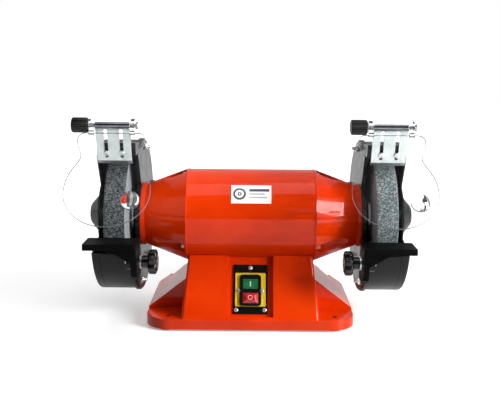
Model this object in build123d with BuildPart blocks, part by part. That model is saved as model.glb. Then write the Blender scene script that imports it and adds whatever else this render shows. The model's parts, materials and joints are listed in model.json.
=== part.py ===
from build123d import *
import os
from math import cos, radians, sin, sqrt, tan

# Bench grinder for 200 mm wheels. Millimetres, +Z up, the shaft along X, the operator at -Y.
# The origin is the centre of the four bench bolts, on the bench.

os.makedirs("parts", exist_ok=True)

# ---------------------------------------------------------------- driving dimensions
SHAFT_Z = 163.0
FOOT_H = 3.0
FLANGE_TOP = 18.5
FLANGE_HALF_X, FLANGE_HALF_Y = 162.0, 102.0
FRONT_CORNER_R, REAR_CORNER_R = 40.0, 14.0
BOLT_X, BOLT_Y, BOLT_R = 129.0, 82.0, 5.5
BLOCK_LOW_X, BLOCK_LOW_Y = 106.0, 100.0
BLOCK_TOP_X, BLOCK_TOP_Y, BLOCK_TOP_Z = 98.3, 48.0, 105.7
BLOCK_CORNER_R = 5.0
ARM_FRONT_Y, ARM_EDGE_Z, ARM_SLOPE = -43.0, 20.5, 0.78
CAST_WALL = 7.5
FIT_GAP, OVERCUT, TOOL_CLEAR = 0.05, 1.0, 20.0
FLANGE_EDGE_R = 1.5
HOLLOW_SPARE_LOW, HOLLOW_SPARE_TOP = 3.0, 1.0
HOLLOW_BACK_Y, HOLLOW_SIDE, HOLLOW_FOOT_DROP, HOLLOW_TOP_Z = 60.0, 16.0, 2.0, 62.0
SADDLE_OVERRUN, SADDLE_X = 10.0, 80.0
SADDLE_HOLE_R, SADDLE_BOLT_R, SADDLE_HEAD_R, SADDLE_HEAD_H = 4.1, 3.0, 6.5, 5.0
WIRE_HOLE_R, WELL_R, WELL_CUT, FOOT_R = 8.0, 11.0, 60.0, 13.0
PANEL_SCREW_X, PANEL_SCREW_Y = 94.0, 76.0
PANEL_BOSS_R, PANEL_BOSS_H, PANEL_HOLE_R, PANEL_HOLE_D = 9.0, 12.0, 2.0, 10.0
PANEL_SEAT_X, PANEL_SEAT_Y, PANEL_SEAT_D, PANEL_EDGE_GAP = 104.0, 88.0, 2.0, 0.5
PANEL_GAP, PANEL_T, PANEL_PASS_R = 0.2, 1.8, 2.3
PANEL_HEAD_R, PANEL_HEAD_H, PANEL_SHANK_R, PANEL_SHANK_L = 3.8, 2.4, 1.95, 9.0
VENT_PITCH_X, VENT_PITCH_Y, VENT_COLUMNS, VENT_ROWS = 12.0, 30.0, 9, 2
VENT_LENGTH, VENT_WIDTH = 22.0, 4.0

SHELL_R, SHELL_WALL, SHELL_HALF = 73.5, 4.0, 100.0
SEAM_ANGLE, SEAM_SPAN, SEAM_DEPTH, SEAM_W = 163.0, 65.0, 0.5, 0.6
SHELL_HOLE_R, SHELL_CUT = 3.1, 5.0
BADGE_ANGLE, BADGE_SPAN, BADGE_W, BADGE_T = 131.8, 24.4, 62.0, 0.6
BELL_BIG_R, BELL_SMALL_R = 74.5, 50.0
BELL_LIP_X, BELL_END_X = 168.0, 174.0
BELL_SPIGOT_X, BELL_EDGE, BELL_STEP, BELL_NECK = 94.0, 0.6, 0.6, 0.8
BELL_HOLLOW_START, BELL_HOLLOW_MID, BELL_HOLLOW_END = 90.0, 104.0, 146.0
BELL_HOLLOW_R, BELL_HOLLOW_END_R, BELL_BORE_X, SHAFT_RELIEF_R = 65.5, 50.0, 140.0, 12.0
TIE_R, TIE_HOLE_R, TIE_POCKET_R = 65.0, 3.2, 11.0
TIE_ANGLES = (217.0, 97.0, 337.0)
TIE_SEAT_X, TIE_POCKET_END, TIE_POCKET_WALL = 104.0, 172.0, 3.5
TIE_BOLT_R, TIE_HEAD_R, TIE_HEAD_H, TIE_RUN_R, TIE_RUN_SHIFT = 3.0, 5.6, 5.0, 6.0, 2.0
STATOR_HALF, STATOR_BORE, ROTOR_R = 45.0, 40.2, 39.6
BEARING_X, BEARING_W, BEARING_R, BEARING_BORE = 152.0, 14.0, 23.5, 10.0
BALL_R, BALL_PITCH_R, BALL_COUNT, BALL_GAP = 3.3, 16.85, 8, 0.15
WINDING_X, WINDING_R, WINDING_W, WINDING_H, WINDING_CORNER = 57.0, 51.0, 21.0, 17.0, 6.0
SHAFT_BODY_R, END_RING_X, END_RING_LOW, END_RING_HIGH = 15.0, 52.0, 20.0, 35.0
CAN_X, CAN_Y, CAN_Z, CAN_R, CAN_LENGTH = -75.0, 30.0, 30.0, 18.0, 68.0
TAB_SPREAD, TAB_T, TAB_W, TAB_LENGTH = 6.0, 1.0, 6.0, 8.0

WHEEL_R, WHEEL_W, WHEEL_X = 100.0, 32.0, 190.0
SPINDLE_R, SPINDLE_END = 8.0, 249.0
SPINDLE_CHAMFER = 1.0
FLANGE_R, FLANGE_T, BLOTTER_T = 40.0, 6.0, 0.6
FLANGE_LAND, FLANGE_DISH, FLANGE_RIM, FLANGE_HUB_R, BLOTTER_EXTRA = 9.0, 1.2, 3.5, 24.0, 3.0
SPINDLE_NUT_R, SPINDLE_NUT_W = 13.8, 11.0
GUARD_R, GUARD_WALL, GUARD_BAND = 122.5, 6.0, 4.0
GUARD_X, GUARD_EDGE_X, COVER_X = 174.0, 226.0, 238.5
GUARD_BORE_R, GUARD_BEAD, GUARD_BEAD_W = 14.0, 2.5, 7.0
CUT_ARC_R, CUT_TOP_ANGLE, CUT_LOW_ANGLE, CUT_SPARE = 59.0, 120.5, 207.2, 4.0
CUT_LIP, CUT_FAR_LOW, CUT_FAR_Y, CUT_TOP, CUT_BACK = (-116.0, -42.0), -56.0, -170.0, 172.0, -104.0
PAD_LOW_V, PAD_HIGH_V, PAD_LOW_Z, PAD_HIGH_Z = 4.5, 15.0, 104.5, 124.0
PAD_BACK_Y, PAD_BACK_TOP, PAD_BACK_LOW, PAD_TOE_Y = -46.0, 121.0, 107.0, -60.0
LUG_T, LUG_R, LUG_RUN = 10.0, 12.0, 28.0
BELL_BOLT_PITCH, BELL_BOLT_COUNT, BELL_BOLT_START, BELL_THREAD_R = 36.0, 4, 45.0, 3.0
BELL_BOLT_R, BELL_BOLT_HEAD_R, BELL_BOLT_HEAD_H, BELL_BOLT_REACH = 2.95, 5.2, 2.8, 12.0
BELL_THREAD_DEPTH, BOLT_PASS_R = 14.0, 3.1
DOME_FOOT_R, DOME_EDGE_R, DOME_TOP_R, DOME_EDGE, DOME_TOP, DOME_WALL = 39.0, 17.0, 14.0, 19.0, 21.5, 2.5
DOME_IN_R, DOME_IN_EDGE_R, DOME_IN_EDGE, DOME_IN_FOOT_R = 13.0, 15.0, 17.0, 37.6
COVER_JOINT, COVER_ROUND, COVER_ROUND_MID = 0.4, 3.0, 0.9
COVER_SCREW_R, COVER_HEAD_R, COVER_HEAD_H, COVER_TAIL = 3.0, 5.8, 3.5, 11.0
COVER_NUT_R, COVER_NUT_T = 5.8, 5.0
COVER_BOLT_R, COVER_BOLT_ANGLES = 109.0, (86.0, 18.0, 310.0, 242.0)
CENTRE_X = 206.0

ARRESTOR_LEAN = 16.0
ARRESTOR_Y, ARRESTOR_Z = -85.0, SHAFT_Z + 109.0
ARRESTOR_HALF, ARRESTOR_T, ARRESTOR_GAP = 26.0, 2.5, 0.15
SLOT_X, SLOT_HALF, SLOT_LOW, SLOT_HIGH = 11.5, 2.75, -7.6, 38.5
ROD_V, ROD_W, ROD_R = 45.0, 3.0, 3.0
BARREL_R = 4.8
PAD_HOLE_R, PAD_HOLE_DEPTH, SCREW_TAIL = 2.1, 14.0, 12.0
SCREW_R, SCREW_HEAD_R, SCREW_HEAD_H, SCREW_SEAT_GAP = 2.05, 4.7, 3.2, 0.15
SCREW_RECESS, SCREW_CROSS_L, SCREW_CROSS_W = 1.8, 5.6, 1.0
PLATE_HANG, PLATE_HANG_BACK = 4.0, 3.5
LIP_START, LIP_REACH, LIP_DROP, LIP_TIP_X, LIP_TIP_Y, LIP_ROOT = -12.0, 8.2, -20.2, 10.0, -18.4, -10.96
ROD_LEFT, ROD_RIGHT, ROD_HEAD_R, ROD_HEAD_W = 46.0, 34.2, 5.8, 4.0
KNOB_REACH, KNOB_W, KNOB_R, KNOB_FLUTES = 60.0, 25.7, 11.6, 18
KNOB_FLUTE_PITCH, KNOB_FLUTE_R, KNOB_BORE_START, KNOB_BORE_D = 12.5, 1.3, 46.5, 14.0
SHIELD_TILT, SHIELD_T = 30.0, 3.0
LENS_X, LENS_S, LENS_R = 34.0, 118.0, 13.0
LENS_CROWN, LENS_RIM = 5.0, 1.4
SHIELD_TOP, SHIELD_TOP_X, SHIELD_SHOULDER, SHIELD_NECK_IN = -12.7, 39.0, (46.6, -15.8), (49.6, -23.0)
SHIELD_NECK, SHIELD_WIDE, SHIELD_WIDE_S, SHIELD_BOWL_H = (42.7, -47.0), 62.5, -105.0, 53.0
EAR_NEAR, EAR_FAR, EAR_R, EAR_WEB_W, EAR_WEB_H, EAR_WEB_S = 26.4, 33.6, 10.0, 6.0, 12.0, -9.0

STUD_Y, STUD_Z, STUD_R = -118.0, SHAFT_Z - 50.0, 3.95
REST_DROP = 30.0
REST_SLIDE = {"left": 0.0, "right": 12.0}
REST_TOP, REST_T = SHAFT_Z - 15.0, 9.0
REST_IN, REST_OUT, REST_BACK, REST_FRONT = 165.0, 242.0, -115.0, -160.0
LEG_T = 8.7
REST_CORNER_R, REST_EDGE_R = 3.0, 0.8
LEG_FRONT, LEG_TOP, LEG_KNEE, LEG_HEEL = 4.0, -20.0, -34.0, (-146.0, -66.0)
LEG_TOE_FRONT, LEG_TOE_BACK = (-136.0, -72.0), (-106.0, -72.0)
LEG_BACK, LEG_WAIST = (-100.0, -64.0), (-104.0, -40.0)
REST_SLOT_SHIFT, REST_SLOT_LENGTH, REST_SLOT_W = 6.0, 30.4, 8.4
RIB_FRONT, RIB_T, RIB_REACH_X, RIB_DROP, RIB_ROOT = 10.0, 6.0, 207.0, 19.0, 1.0
WASHER_R, WASHER_NEAR, WASHER_FAR = 10.5, 3.2, 0.3
REST_KNOB_X, REST_KNOB_END, REST_KNOB_R, REST_LOBES = 138.0, 152.0, 18.5, 8
LOBE_PITCH, LOBE_R, COLLAR_R, COLLAR_GAP, STUD_ROOT, STUD_TIP_X = 22.0, 5.6, 9.5, 3.5, 4.0, 186.5

PLATE_W, PLATE_H, PLATE_T = 54.0, 78.0, 2.0
RECESS_HALF, RECESS_D = 35.5, 8.0
SWITCH_DEPTH = 26.0
PLATE_MID_Z, PLATE_CORNER = 56.95, 1.5
PLATE_SCREWS = ((0.0, 34.0), (-22.0, -33.0), (22.0, -33.0))
PLATE_HOLE_R, PLATE_PASS_R, PLATE_SHANK_R, PLATE_HEAD_R, PLATE_HEAD_H = 2.0, 2.2, 1.95, 3.4, 1.8
PLATE_HOLE_DEPTH, PLATE_SCREW_TAIL = 10.0, 6.0
PLATE_CROSS_RISE, PLATE_CROSS_L, CROSS_W = 1.0, 4.4, 0.8
WINDOW_V, WINDOW_SPARE, WINDOW_OVER = -3.0, 4.0, 2.0
HOUSING_W, HOUSING_H, HOUSING_CORNER, HOUSING_RISE = 33.0, 49.0, 5.0, 8.0
WINDOW_GAP, SHEET_GAP, BUTTON_POCKET = 0.4, 0.2, 4.0
FRAME_W, FRAME_H, FRAME_V, FRAME_CORNER, FRAME_T = 47.0, 53.0, -1.5, 2.0, 3.0
FRAME_SCREW_X, FRAME_SCREW_V, FRAME_PASS_R = 18.2, -3.8, 1.7
FRAME_LUG_R, FRAME_NOTCH_R = 3.6, 3.9
FRAME_HEAD_R, FRAME_HEAD_H, FRAME_SHANK_R, FRAME_CROSS_RISE, FRAME_CROSS_L = 3.1, 1.6, 1.6, 0.8, 4.0
GLAND_X, GLAND_Z, GLAND_SEAT_Y, GLAND_INNER_Y = 55.0, 42.0, 94.0, 52.0
GLAND_BOSS_R, GLAND_HOLE_R, GLAND_BODY_R, GLAND_TAIL = 16.0, 8.05, 8.0, 8.0
GLAND_HEX_R, GLAND_HEX_H, GLAND_CAP_R, GLAND_CAP_H, GLAND_CAP_TAPER = 12.7, 8.0, 8.2, 14.0, -8.0
GLAND_BORE_R, GLAND_BORE_CUT, GLAND_NUT_R, GLAND_NUT_T = 4.2, 90.0, 13.0, 5.0
BUTTON_GAP = 0.35
BUTTON_ROOT, BUTTON_EDGE = 1.0, 0.5
START_V, START_W, START_H, START_DEEP = 6.9, 24.0, 15.7, 8.0
STOP_V, STOP_W, STOP_H, STOP_DEEP = -15.6, 24.8, 16.6, 9.5
STOP_RISE, STOP_TOP_W, STOP_TOP_H = 12.0, 11.0, 9.0

SIDES = {"left": -1, "right": 1}

# ---------------------------------------------------------------- derived values and planes
BLOCK_H = BLOCK_TOP_Z - FLANGE_TOP
LEAN_RUN = BLOCK_LOW_Y - BLOCK_TOP_Y
LEAN_LENGTH = sqrt(BLOCK_H**2 + LEAN_RUN**2)
LEAN_SIN, LEAN_COS = LEAN_RUN / LEAN_LENGTH, BLOCK_H / LEAN_LENGTH
FRAME_SCREWS = ((-FRAME_SCREW_X, FRAME_SCREW_V), (FRAME_SCREW_X, FRAME_SCREW_V))
SADDLE_POINTS = ((-SADDLE_X, 0), (SADDLE_X, 0))
SHOULDER_X = WHEEL_X - BLOTTER_T - FLANGE_T
GUARD_BAND_OUT = GUARD_R - GUARD_BEAD
GUARD_BAND_IN = GUARD_BAND_OUT - GUARD_BAND
SHAFT_AXIS = Axis((0, 0, SHAFT_Z), (1, 0, 0))
PROFILE = Plane(origin=(0, 0, SHAFT_Z), x_dir=(1, 0, 0), z_dir=(0, -1, 0))


def shaft_plane(x):
    """The plane across the shaft at x: local x is +Y, local y is +Z, normal +X."""
    return Plane(origin=(x, 0, SHAFT_Z), x_dir=(0, 1, 0), z_dir=(1, 0, 0))


def across(side, near, far):
    """Start plane and length of a slab between two distances from the middle, on one side."""
    low = min(side * near, side * far)
    return shaft_plane(low), abs(far - near)


def face_plane(height, depth):
    """Plane parallel to the sloped front face: height up the slope, depth inwards from the face."""
    y = -BLOCK_LOW_Y + height * LEAN_SIN + depth * LEAN_COS
    z = FLANGE_TOP + height * LEAN_COS - depth * LEAN_SIN
    return Plane(origin=(0, y, z), x_dir=(1, 0, 0), z_dir=(0, -LEAN_COS, LEAN_SIN))


def arrestor_plane(x):
    """The front face of the guard's pad, on which the spark arrestor slides."""
    lean = radians(ARRESTOR_LEAN)
    return Plane(origin=(x, ARRESTOR_Y, ARRESTOR_Z), x_dir=(1, 0, 0), z_dir=(0, -cos(lean), -sin(lean)))


def rod_centre(x):
    """Centre of the shield rod above the arrestor plate."""
    return arrestor_plane(x).from_local_coords(Vector(0, ROD_V, ROD_W))


def shield_plane(x):
    """Middle plane of the eye shield: local x along the rod, local y up the shield."""
    tilt = radians(SHIELD_TILT)
    return Plane(origin=rod_centre(x), x_dir=(1, 0, 0), z_dir=(0, -cos(tilt), sin(tilt)))


def polar(radius, angle):
    """Local point on a shaft plane, angle from +Y towards +Z."""
    return radius * cos(radians(angle)), radius * sin(radians(angle))


def rest_shift(name):
    """How far one tool rest has slid along its slot, as a (y, z) move."""
    slide = REST_SLIDE[name]
    return slide * cos(radians(REST_DROP)), -slide * sin(radians(REST_DROP))


PLATE_CENTRE_H = (PLATE_MID_Z - FLANGE_TOP + RECESS_D * LEAN_SIN) / LEAN_COS
SWITCH = face_plane(PLATE_CENTRE_H, RECESS_D)


# ---------------------------------------------------------------- base
with BuildPart() as side_arms:
    with BuildSketch(Plane.XZ.offset(-BLOCK_LOW_Y)):
        with BuildLine():
            arm_rise = SHAFT_Z - SHELL_R - ARM_EDGE_Z
            arm_top_x = FLANGE_HALF_X - arm_rise / ARM_SLOPE
            Polyline(
                (-FLANGE_HALF_X, FOOT_H),
                (FLANGE_HALF_X, FOOT_H),
                (FLANGE_HALF_X, ARM_EDGE_Z),
                (arm_top_x, ARM_EDGE_Z + arm_rise),
                (-arm_top_x, ARM_EDGE_Z + arm_rise),
                (-FLANGE_HALF_X, ARM_EDGE_Z),
                close=True,
            )
        make_face()
    extrude(amount=BLOCK_LOW_Y - ARM_FRONT_Y)
    with BuildSketch(Plane.YZ.offset(-FLANGE_HALF_X)):
        with BuildLine():
            Polyline(
                (ARM_FRONT_Y, FOOT_H),
                (BLOCK_LOW_Y, FOOT_H),
                (BLOCK_LOW_Y, FLANGE_TOP),
                (BLOCK_TOP_Y, BLOCK_TOP_Z),
                (ARM_FRONT_Y, BLOCK_TOP_Z),
                close=True,
            )
        make_face()
    extrude(amount=2 * FLANGE_HALF_X, mode=Mode.INTERSECT)

with BuildPart() as base_hollow:
    with BuildSketch(Plane.XY.offset(FOOT_H - OVERCUT)):
        Rectangle(2 * (BLOCK_LOW_X - CAST_WALL), 2 * (BLOCK_LOW_Y - CAST_WALL - RECESS_D - HOLLOW_SPARE_LOW))
    with BuildSketch(Plane.XY.offset(BLOCK_TOP_Z - CAST_WALL)):
        Rectangle(2 * (BLOCK_TOP_X - CAST_WALL), 2 * (BLOCK_TOP_Y - CAST_WALL - RECESS_D - HOLLOW_SPARE_TOP))
    loft()
    with BuildSketch(Plane.XZ.offset(-HOLLOW_BACK_Y)):
        with BuildLine():
            hollow_foot_z = FLANGE_TOP - HOLLOW_FOOT_DROP
            hollow_run = (HOLLOW_TOP_Z - hollow_foot_z) / ARM_SLOPE
            hollow_x = FLANGE_HALF_X - HOLLOW_SIDE
            Polyline(
                (-hollow_x, FOOT_H - OVERCUT),
                (hollow_x, FOOT_H - OVERCUT),
                (hollow_x, hollow_foot_z),
                (hollow_x - hollow_run, HOLLOW_TOP_Z),
                (-hollow_x + hollow_run, HOLLOW_TOP_Z),
                (-hollow_x, hollow_foot_z),
                close=True,
            )
        make_face()
    extrude(amount=HOLLOW_BACK_Y - ARM_FRONT_Y - CAST_WALL)
    with BuildSketch(shaft_plane(-FLANGE_HALF_X)):
        Circle(SHELL_R + CAST_WALL)
    extrude(amount=2 * FLANGE_HALF_X, mode=Mode.SUBTRACT)

with BuildPart() as base_casting:
    with BuildSketch(Plane.XY.offset(FOOT_H)) as flange_outline:
        Rectangle(2 * FLANGE_HALF_X, 2 * FLANGE_HALF_Y)
        fillet(flange_outline.vertices().group_by(Axis.Y)[0], FRONT_CORNER_R)
        fillet(flange_outline.vertices().group_by(Axis.Y)[-1], REAR_CORNER_R)
    extrude(amount=FLANGE_TOP - FOOT_H)
    fillet(base_casting.faces().sort_by(Axis.Z)[-1].edges(), FLANGE_EDGE_R)
    add(side_arms.part)
    with BuildSketch(Plane.XY.offset(FLANGE_TOP)):
        RectangleRounded(2 * BLOCK_LOW_X, 2 * BLOCK_LOW_Y, BLOCK_CORNER_R)
    with BuildSketch(Plane.XY.offset(BLOCK_TOP_Z)):
        RectangleRounded(2 * BLOCK_TOP_X, 2 * BLOCK_TOP_Y, BLOCK_CORNER_R)
    loft()
    with BuildSketch(Plane.XY.offset(FOOT_H)) as outline_limit:
        Rectangle(2 * FLANGE_HALF_X, 2 * FLANGE_HALF_Y)
        fillet(outline_limit.vertices().group_by(Axis.Y)[0], FRONT_CORNER_R)
        fillet(outline_limit.vertices().group_by(Axis.Y)[-1], REAR_CORNER_R)
    extrude(amount=BLOCK_TOP_Z, mode=Mode.INTERSECT)
    with BuildSketch(shaft_plane(-SHELL_HALF - SADDLE_OVERRUN)):
        Circle(SHELL_R + FIT_GAP)
    extrude(amount=2 * (SHELL_HALF + SADDLE_OVERRUN), mode=Mode.SUBTRACT)
    # The tall recess for the switch runs the whole height of the front face.
    with BuildSketch(face_plane((LEAN_LENGTH + RECESS_D) / 2, RECESS_D)):
        Rectangle(2 * RECESS_HALF, LEAN_LENGTH)
    extrude(amount=RECESS_D + TOOL_CLEAR, mode=Mode.SUBTRACT)
    add(base_hollow.part, mode=Mode.SUBTRACT)
    # Window for the switch body, and the three threaded holes of its plate.
    with BuildSketch(SWITCH.offset(-SWITCH_DEPTH - WINDOW_SPARE)):
        with Locations((0, WINDOW_V)):
            Rectangle(HOUSING_W + WINDOW_GAP, HOUSING_H + WINDOW_GAP)
    extrude(amount=SWITCH_DEPTH + WINDOW_SPARE + WINDOW_OVER, mode=Mode.SUBTRACT)
    with BuildSketch(SWITCH.offset(-PLATE_HOLE_DEPTH)):
        with Locations(*PLATE_SCREWS):
            Circle(PLATE_HOLE_R)
    extrude(amount=PLATE_HOLE_DEPTH + WINDOW_OVER, mode=Mode.SUBTRACT)
    # Bench bolts: two in the front pockets, two in round wells behind the arms.
    with BuildSketch(Plane.XY.offset(FOOT_H)):
        with GridLocations(2 * BOLT_X, 2 * BOLT_Y, 2, 2):
            Circle(BOLT_R)
    extrude(amount=FLANGE_TOP, mode=Mode.SUBTRACT)
    with BuildSketch(Plane.XY.offset(FLANGE_TOP - OVERCUT)):
        with Locations((-BOLT_X, BOLT_Y), (BOLT_X, BOLT_Y)):
            Circle(WELL_R)
    extrude(amount=WELL_CUT, mode=Mode.SUBTRACT)
    # Two saddle bolt holes and the wire hole up into the motor.
    with BuildSketch(Plane.XY.offset(FLANGE_TOP)):
        with Locations(*SADDLE_POINTS):
            Circle(SADDLE_HOLE_R)
        Circle(WIRE_HOLE_R)
    extrude(amount=SHAFT_Z - FLANGE_TOP, mode=Mode.SUBTRACT)
    # Cable entry boss in the back wall, and the bosses that take the bottom cover screws.
    with BuildSketch(Plane.XZ.offset(-GLAND_SEAT_Y)):
        with Locations((GLAND_X, GLAND_Z)):
            Circle(GLAND_BOSS_R)
    extrude(amount=GLAND_SEAT_Y - GLAND_INNER_Y)
    with BuildSketch(Plane.XZ.offset(-GLAND_SEAT_Y)):
        with Locations((GLAND_X, GLAND_Z)):
            Circle(GLAND_HOLE_R)
    extrude(amount=GLAND_SEAT_Y - GLAND_INNER_Y, mode=Mode.SUBTRACT)
    with BuildSketch(Plane.XY.offset(FOOT_H)):
        with GridLocations(2 * PANEL_SCREW_X, 2 * PANEL_SCREW_Y, 2, 2):
            Circle(PANEL_BOSS_R)
    extrude(amount=PANEL_BOSS_H)
    with BuildSketch(Plane.XY.offset(FOOT_H)):
        with GridLocations(2 * PANEL_SCREW_X, 2 * PANEL_SCREW_Y, 2, 2):
            Circle(PANEL_HOLE_R)
    extrude(amount=PANEL_HOLE_D, mode=Mode.SUBTRACT)
    # Seat that lets the bottom cover lie flush with the underside.
    with BuildSketch(Plane.XY.offset(FOOT_H)):
        Rectangle(2 * PANEL_SEAT_X, 2 * PANEL_SEAT_Y)
    extrude(amount=PANEL_SEAT_D, mode=Mode.SUBTRACT)
base_casting.part.label = "base_casting"
export_step(base_casting.part, "parts/base_casting.step")

with BuildPart() as bottom_cover:
    with BuildSketch(Plane.XY.offset(FOOT_H + PANEL_GAP)):
        Rectangle(2 * (PANEL_SEAT_X - PANEL_EDGE_GAP), 2 * (PANEL_SEAT_Y - PANEL_EDGE_GAP))
        with GridLocations(2 * PANEL_SCREW_X, 2 * PANEL_SCREW_Y, 2, 2):
            Circle(PANEL_PASS_R, mode=Mode.SUBTRACT)
        with GridLocations(VENT_PITCH_X, VENT_PITCH_Y, VENT_COLUMNS, VENT_ROWS):
            SlotOverall(VENT_LENGTH, VENT_WIDTH, rotation=90, mode=Mode.SUBTRACT)
    extrude(amount=PANEL_T)
bottom_cover.part.label = "bottom_cover"
export_step(bottom_cover.part, "parts/bottom_cover.step")

with BuildPart() as bottom_cover_screws:
    with BuildSketch(Plane.XY.offset(FOOT_H + PANEL_GAP - PANEL_HEAD_H)):
        with GridLocations(2 * PANEL_SCREW_X, 2 * PANEL_SCREW_Y, 2, 2):
            Circle(PANEL_HEAD_R)
    extrude(amount=PANEL_HEAD_H)
    with BuildSketch(Plane.XY.offset(FOOT_H)):
        with GridLocations(2 * PANEL_SCREW_X, 2 * PANEL_SCREW_Y, 2, 2):
            Circle(PANEL_SHANK_R)
    extrude(amount=PANEL_SHANK_L)
bottom_cover_screws.part.label = "bottom_cover_screws"
export_step(bottom_cover_screws.part, "parts/bottom_cover_screws.step")

with BuildPart() as rubber_feet:
    with BuildSketch(Plane.XY):
        with GridLocations(2 * BOLT_X, 2 * BOLT_Y, 2, 2):
            Circle(FOOT_R)
            Circle(BOLT_R, mode=Mode.SUBTRACT)
    extrude(amount=FOOT_H)
rubber_feet.part.label = "rubber_feet"
export_step(rubber_feet.part, "parts/rubber_feet.step")

# ---------------------------------------------------------------- motor
with BuildPart() as motor_shell:
    with BuildSketch(shaft_plane(-SHELL_HALF)):
        Circle(SHELL_R)
        Circle(SHELL_R - SHELL_WALL, mode=Mode.SUBTRACT)
    extrude(amount=2 * SHELL_HALF)
    with BuildSketch(Plane.XY.offset(SHAFT_Z - SHELL_R - SHELL_CUT)):
        with Locations(*SADDLE_POINTS):
            Circle(SHELL_HOLE_R)
        Circle(WIRE_HOLE_R)
    extrude(amount=TOOL_CLEAR, mode=Mode.SUBTRACT)
    # Seam of the rolled shell, open to sight below the badge.
    seam_out = SHELL_R + SEAM_DEPTH
    seam_in = SHELL_R - SEAM_DEPTH
    with BuildSketch(shaft_plane(-SEAM_W / 2)):
        with BuildLine():
            CenterArc((0, 0), seam_out, SEAM_ANGLE, SEAM_SPAN)
            CenterArc((0, 0), seam_in, SEAM_ANGLE, SEAM_SPAN)
            Line(polar(seam_in, SEAM_ANGLE), polar(seam_out, SEAM_ANGLE))
            Line(polar(seam_in, SEAM_ANGLE + SEAM_SPAN), polar(seam_out, SEAM_ANGLE + SEAM_SPAN))
        make_face()
    extrude(amount=SEAM_W, mode=Mode.SUBTRACT)
motor_shell.part.label = "motor_shell"
export_step(motor_shell.part, "parts/motor_shell.step")

with BuildPart() as saddle_bolts:
    saddle_inner_z = SHAFT_Z - SHELL_R - CAST_WALL
    with BuildSketch(Plane.XY.offset(saddle_inner_z - SADDLE_HEAD_H)):
        with Locations(*SADDLE_POINTS):
            RegularPolygon(SADDLE_HEAD_R, 6)
    extrude(amount=SADDLE_HEAD_H)
    with BuildSketch(Plane.XY.offset(saddle_inner_z)):
        with Locations(*SADDLE_POINTS):
            Circle(SADDLE_BOLT_R)
    extrude(amount=CAST_WALL + SHELL_WALL + SADDLE_BOLT_R)
saddle_bolts.part.label = "saddle_bolts"
export_step(saddle_bolts.part, "parts/saddle_bolts.step")

with BuildPart() as stator_core:
    with BuildSketch(shaft_plane(-STATOR_HALF)):
        Circle(SHELL_R - SHELL_WALL - FIT_GAP)
        Circle(STATOR_BORE, mode=Mode.SUBTRACT)
        with Locations([polar(TIE_R + TIE_RUN_SHIFT, angle) for angle in TIE_ANGLES]):
            Circle(TIE_RUN_R, mode=Mode.SUBTRACT)
    extrude(amount=2 * STATOR_HALF)
stator_core.part.label = "stator_core"
export_step(stator_core.part, "parts/stator_core.step")

with BuildPart() as stator_windings:
    for side in SIDES.values():
        with BuildSketch(PROFILE):
            with Locations((side * WINDING_X, WINDING_R)):
                RectangleRounded(WINDING_W, WINDING_H, WINDING_CORNER)
        revolve(axis=SHAFT_AXIS)
stator_windings.part.label = "stator_windings"
export_step(stator_windings.part, "parts/stator_windings.step")


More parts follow.
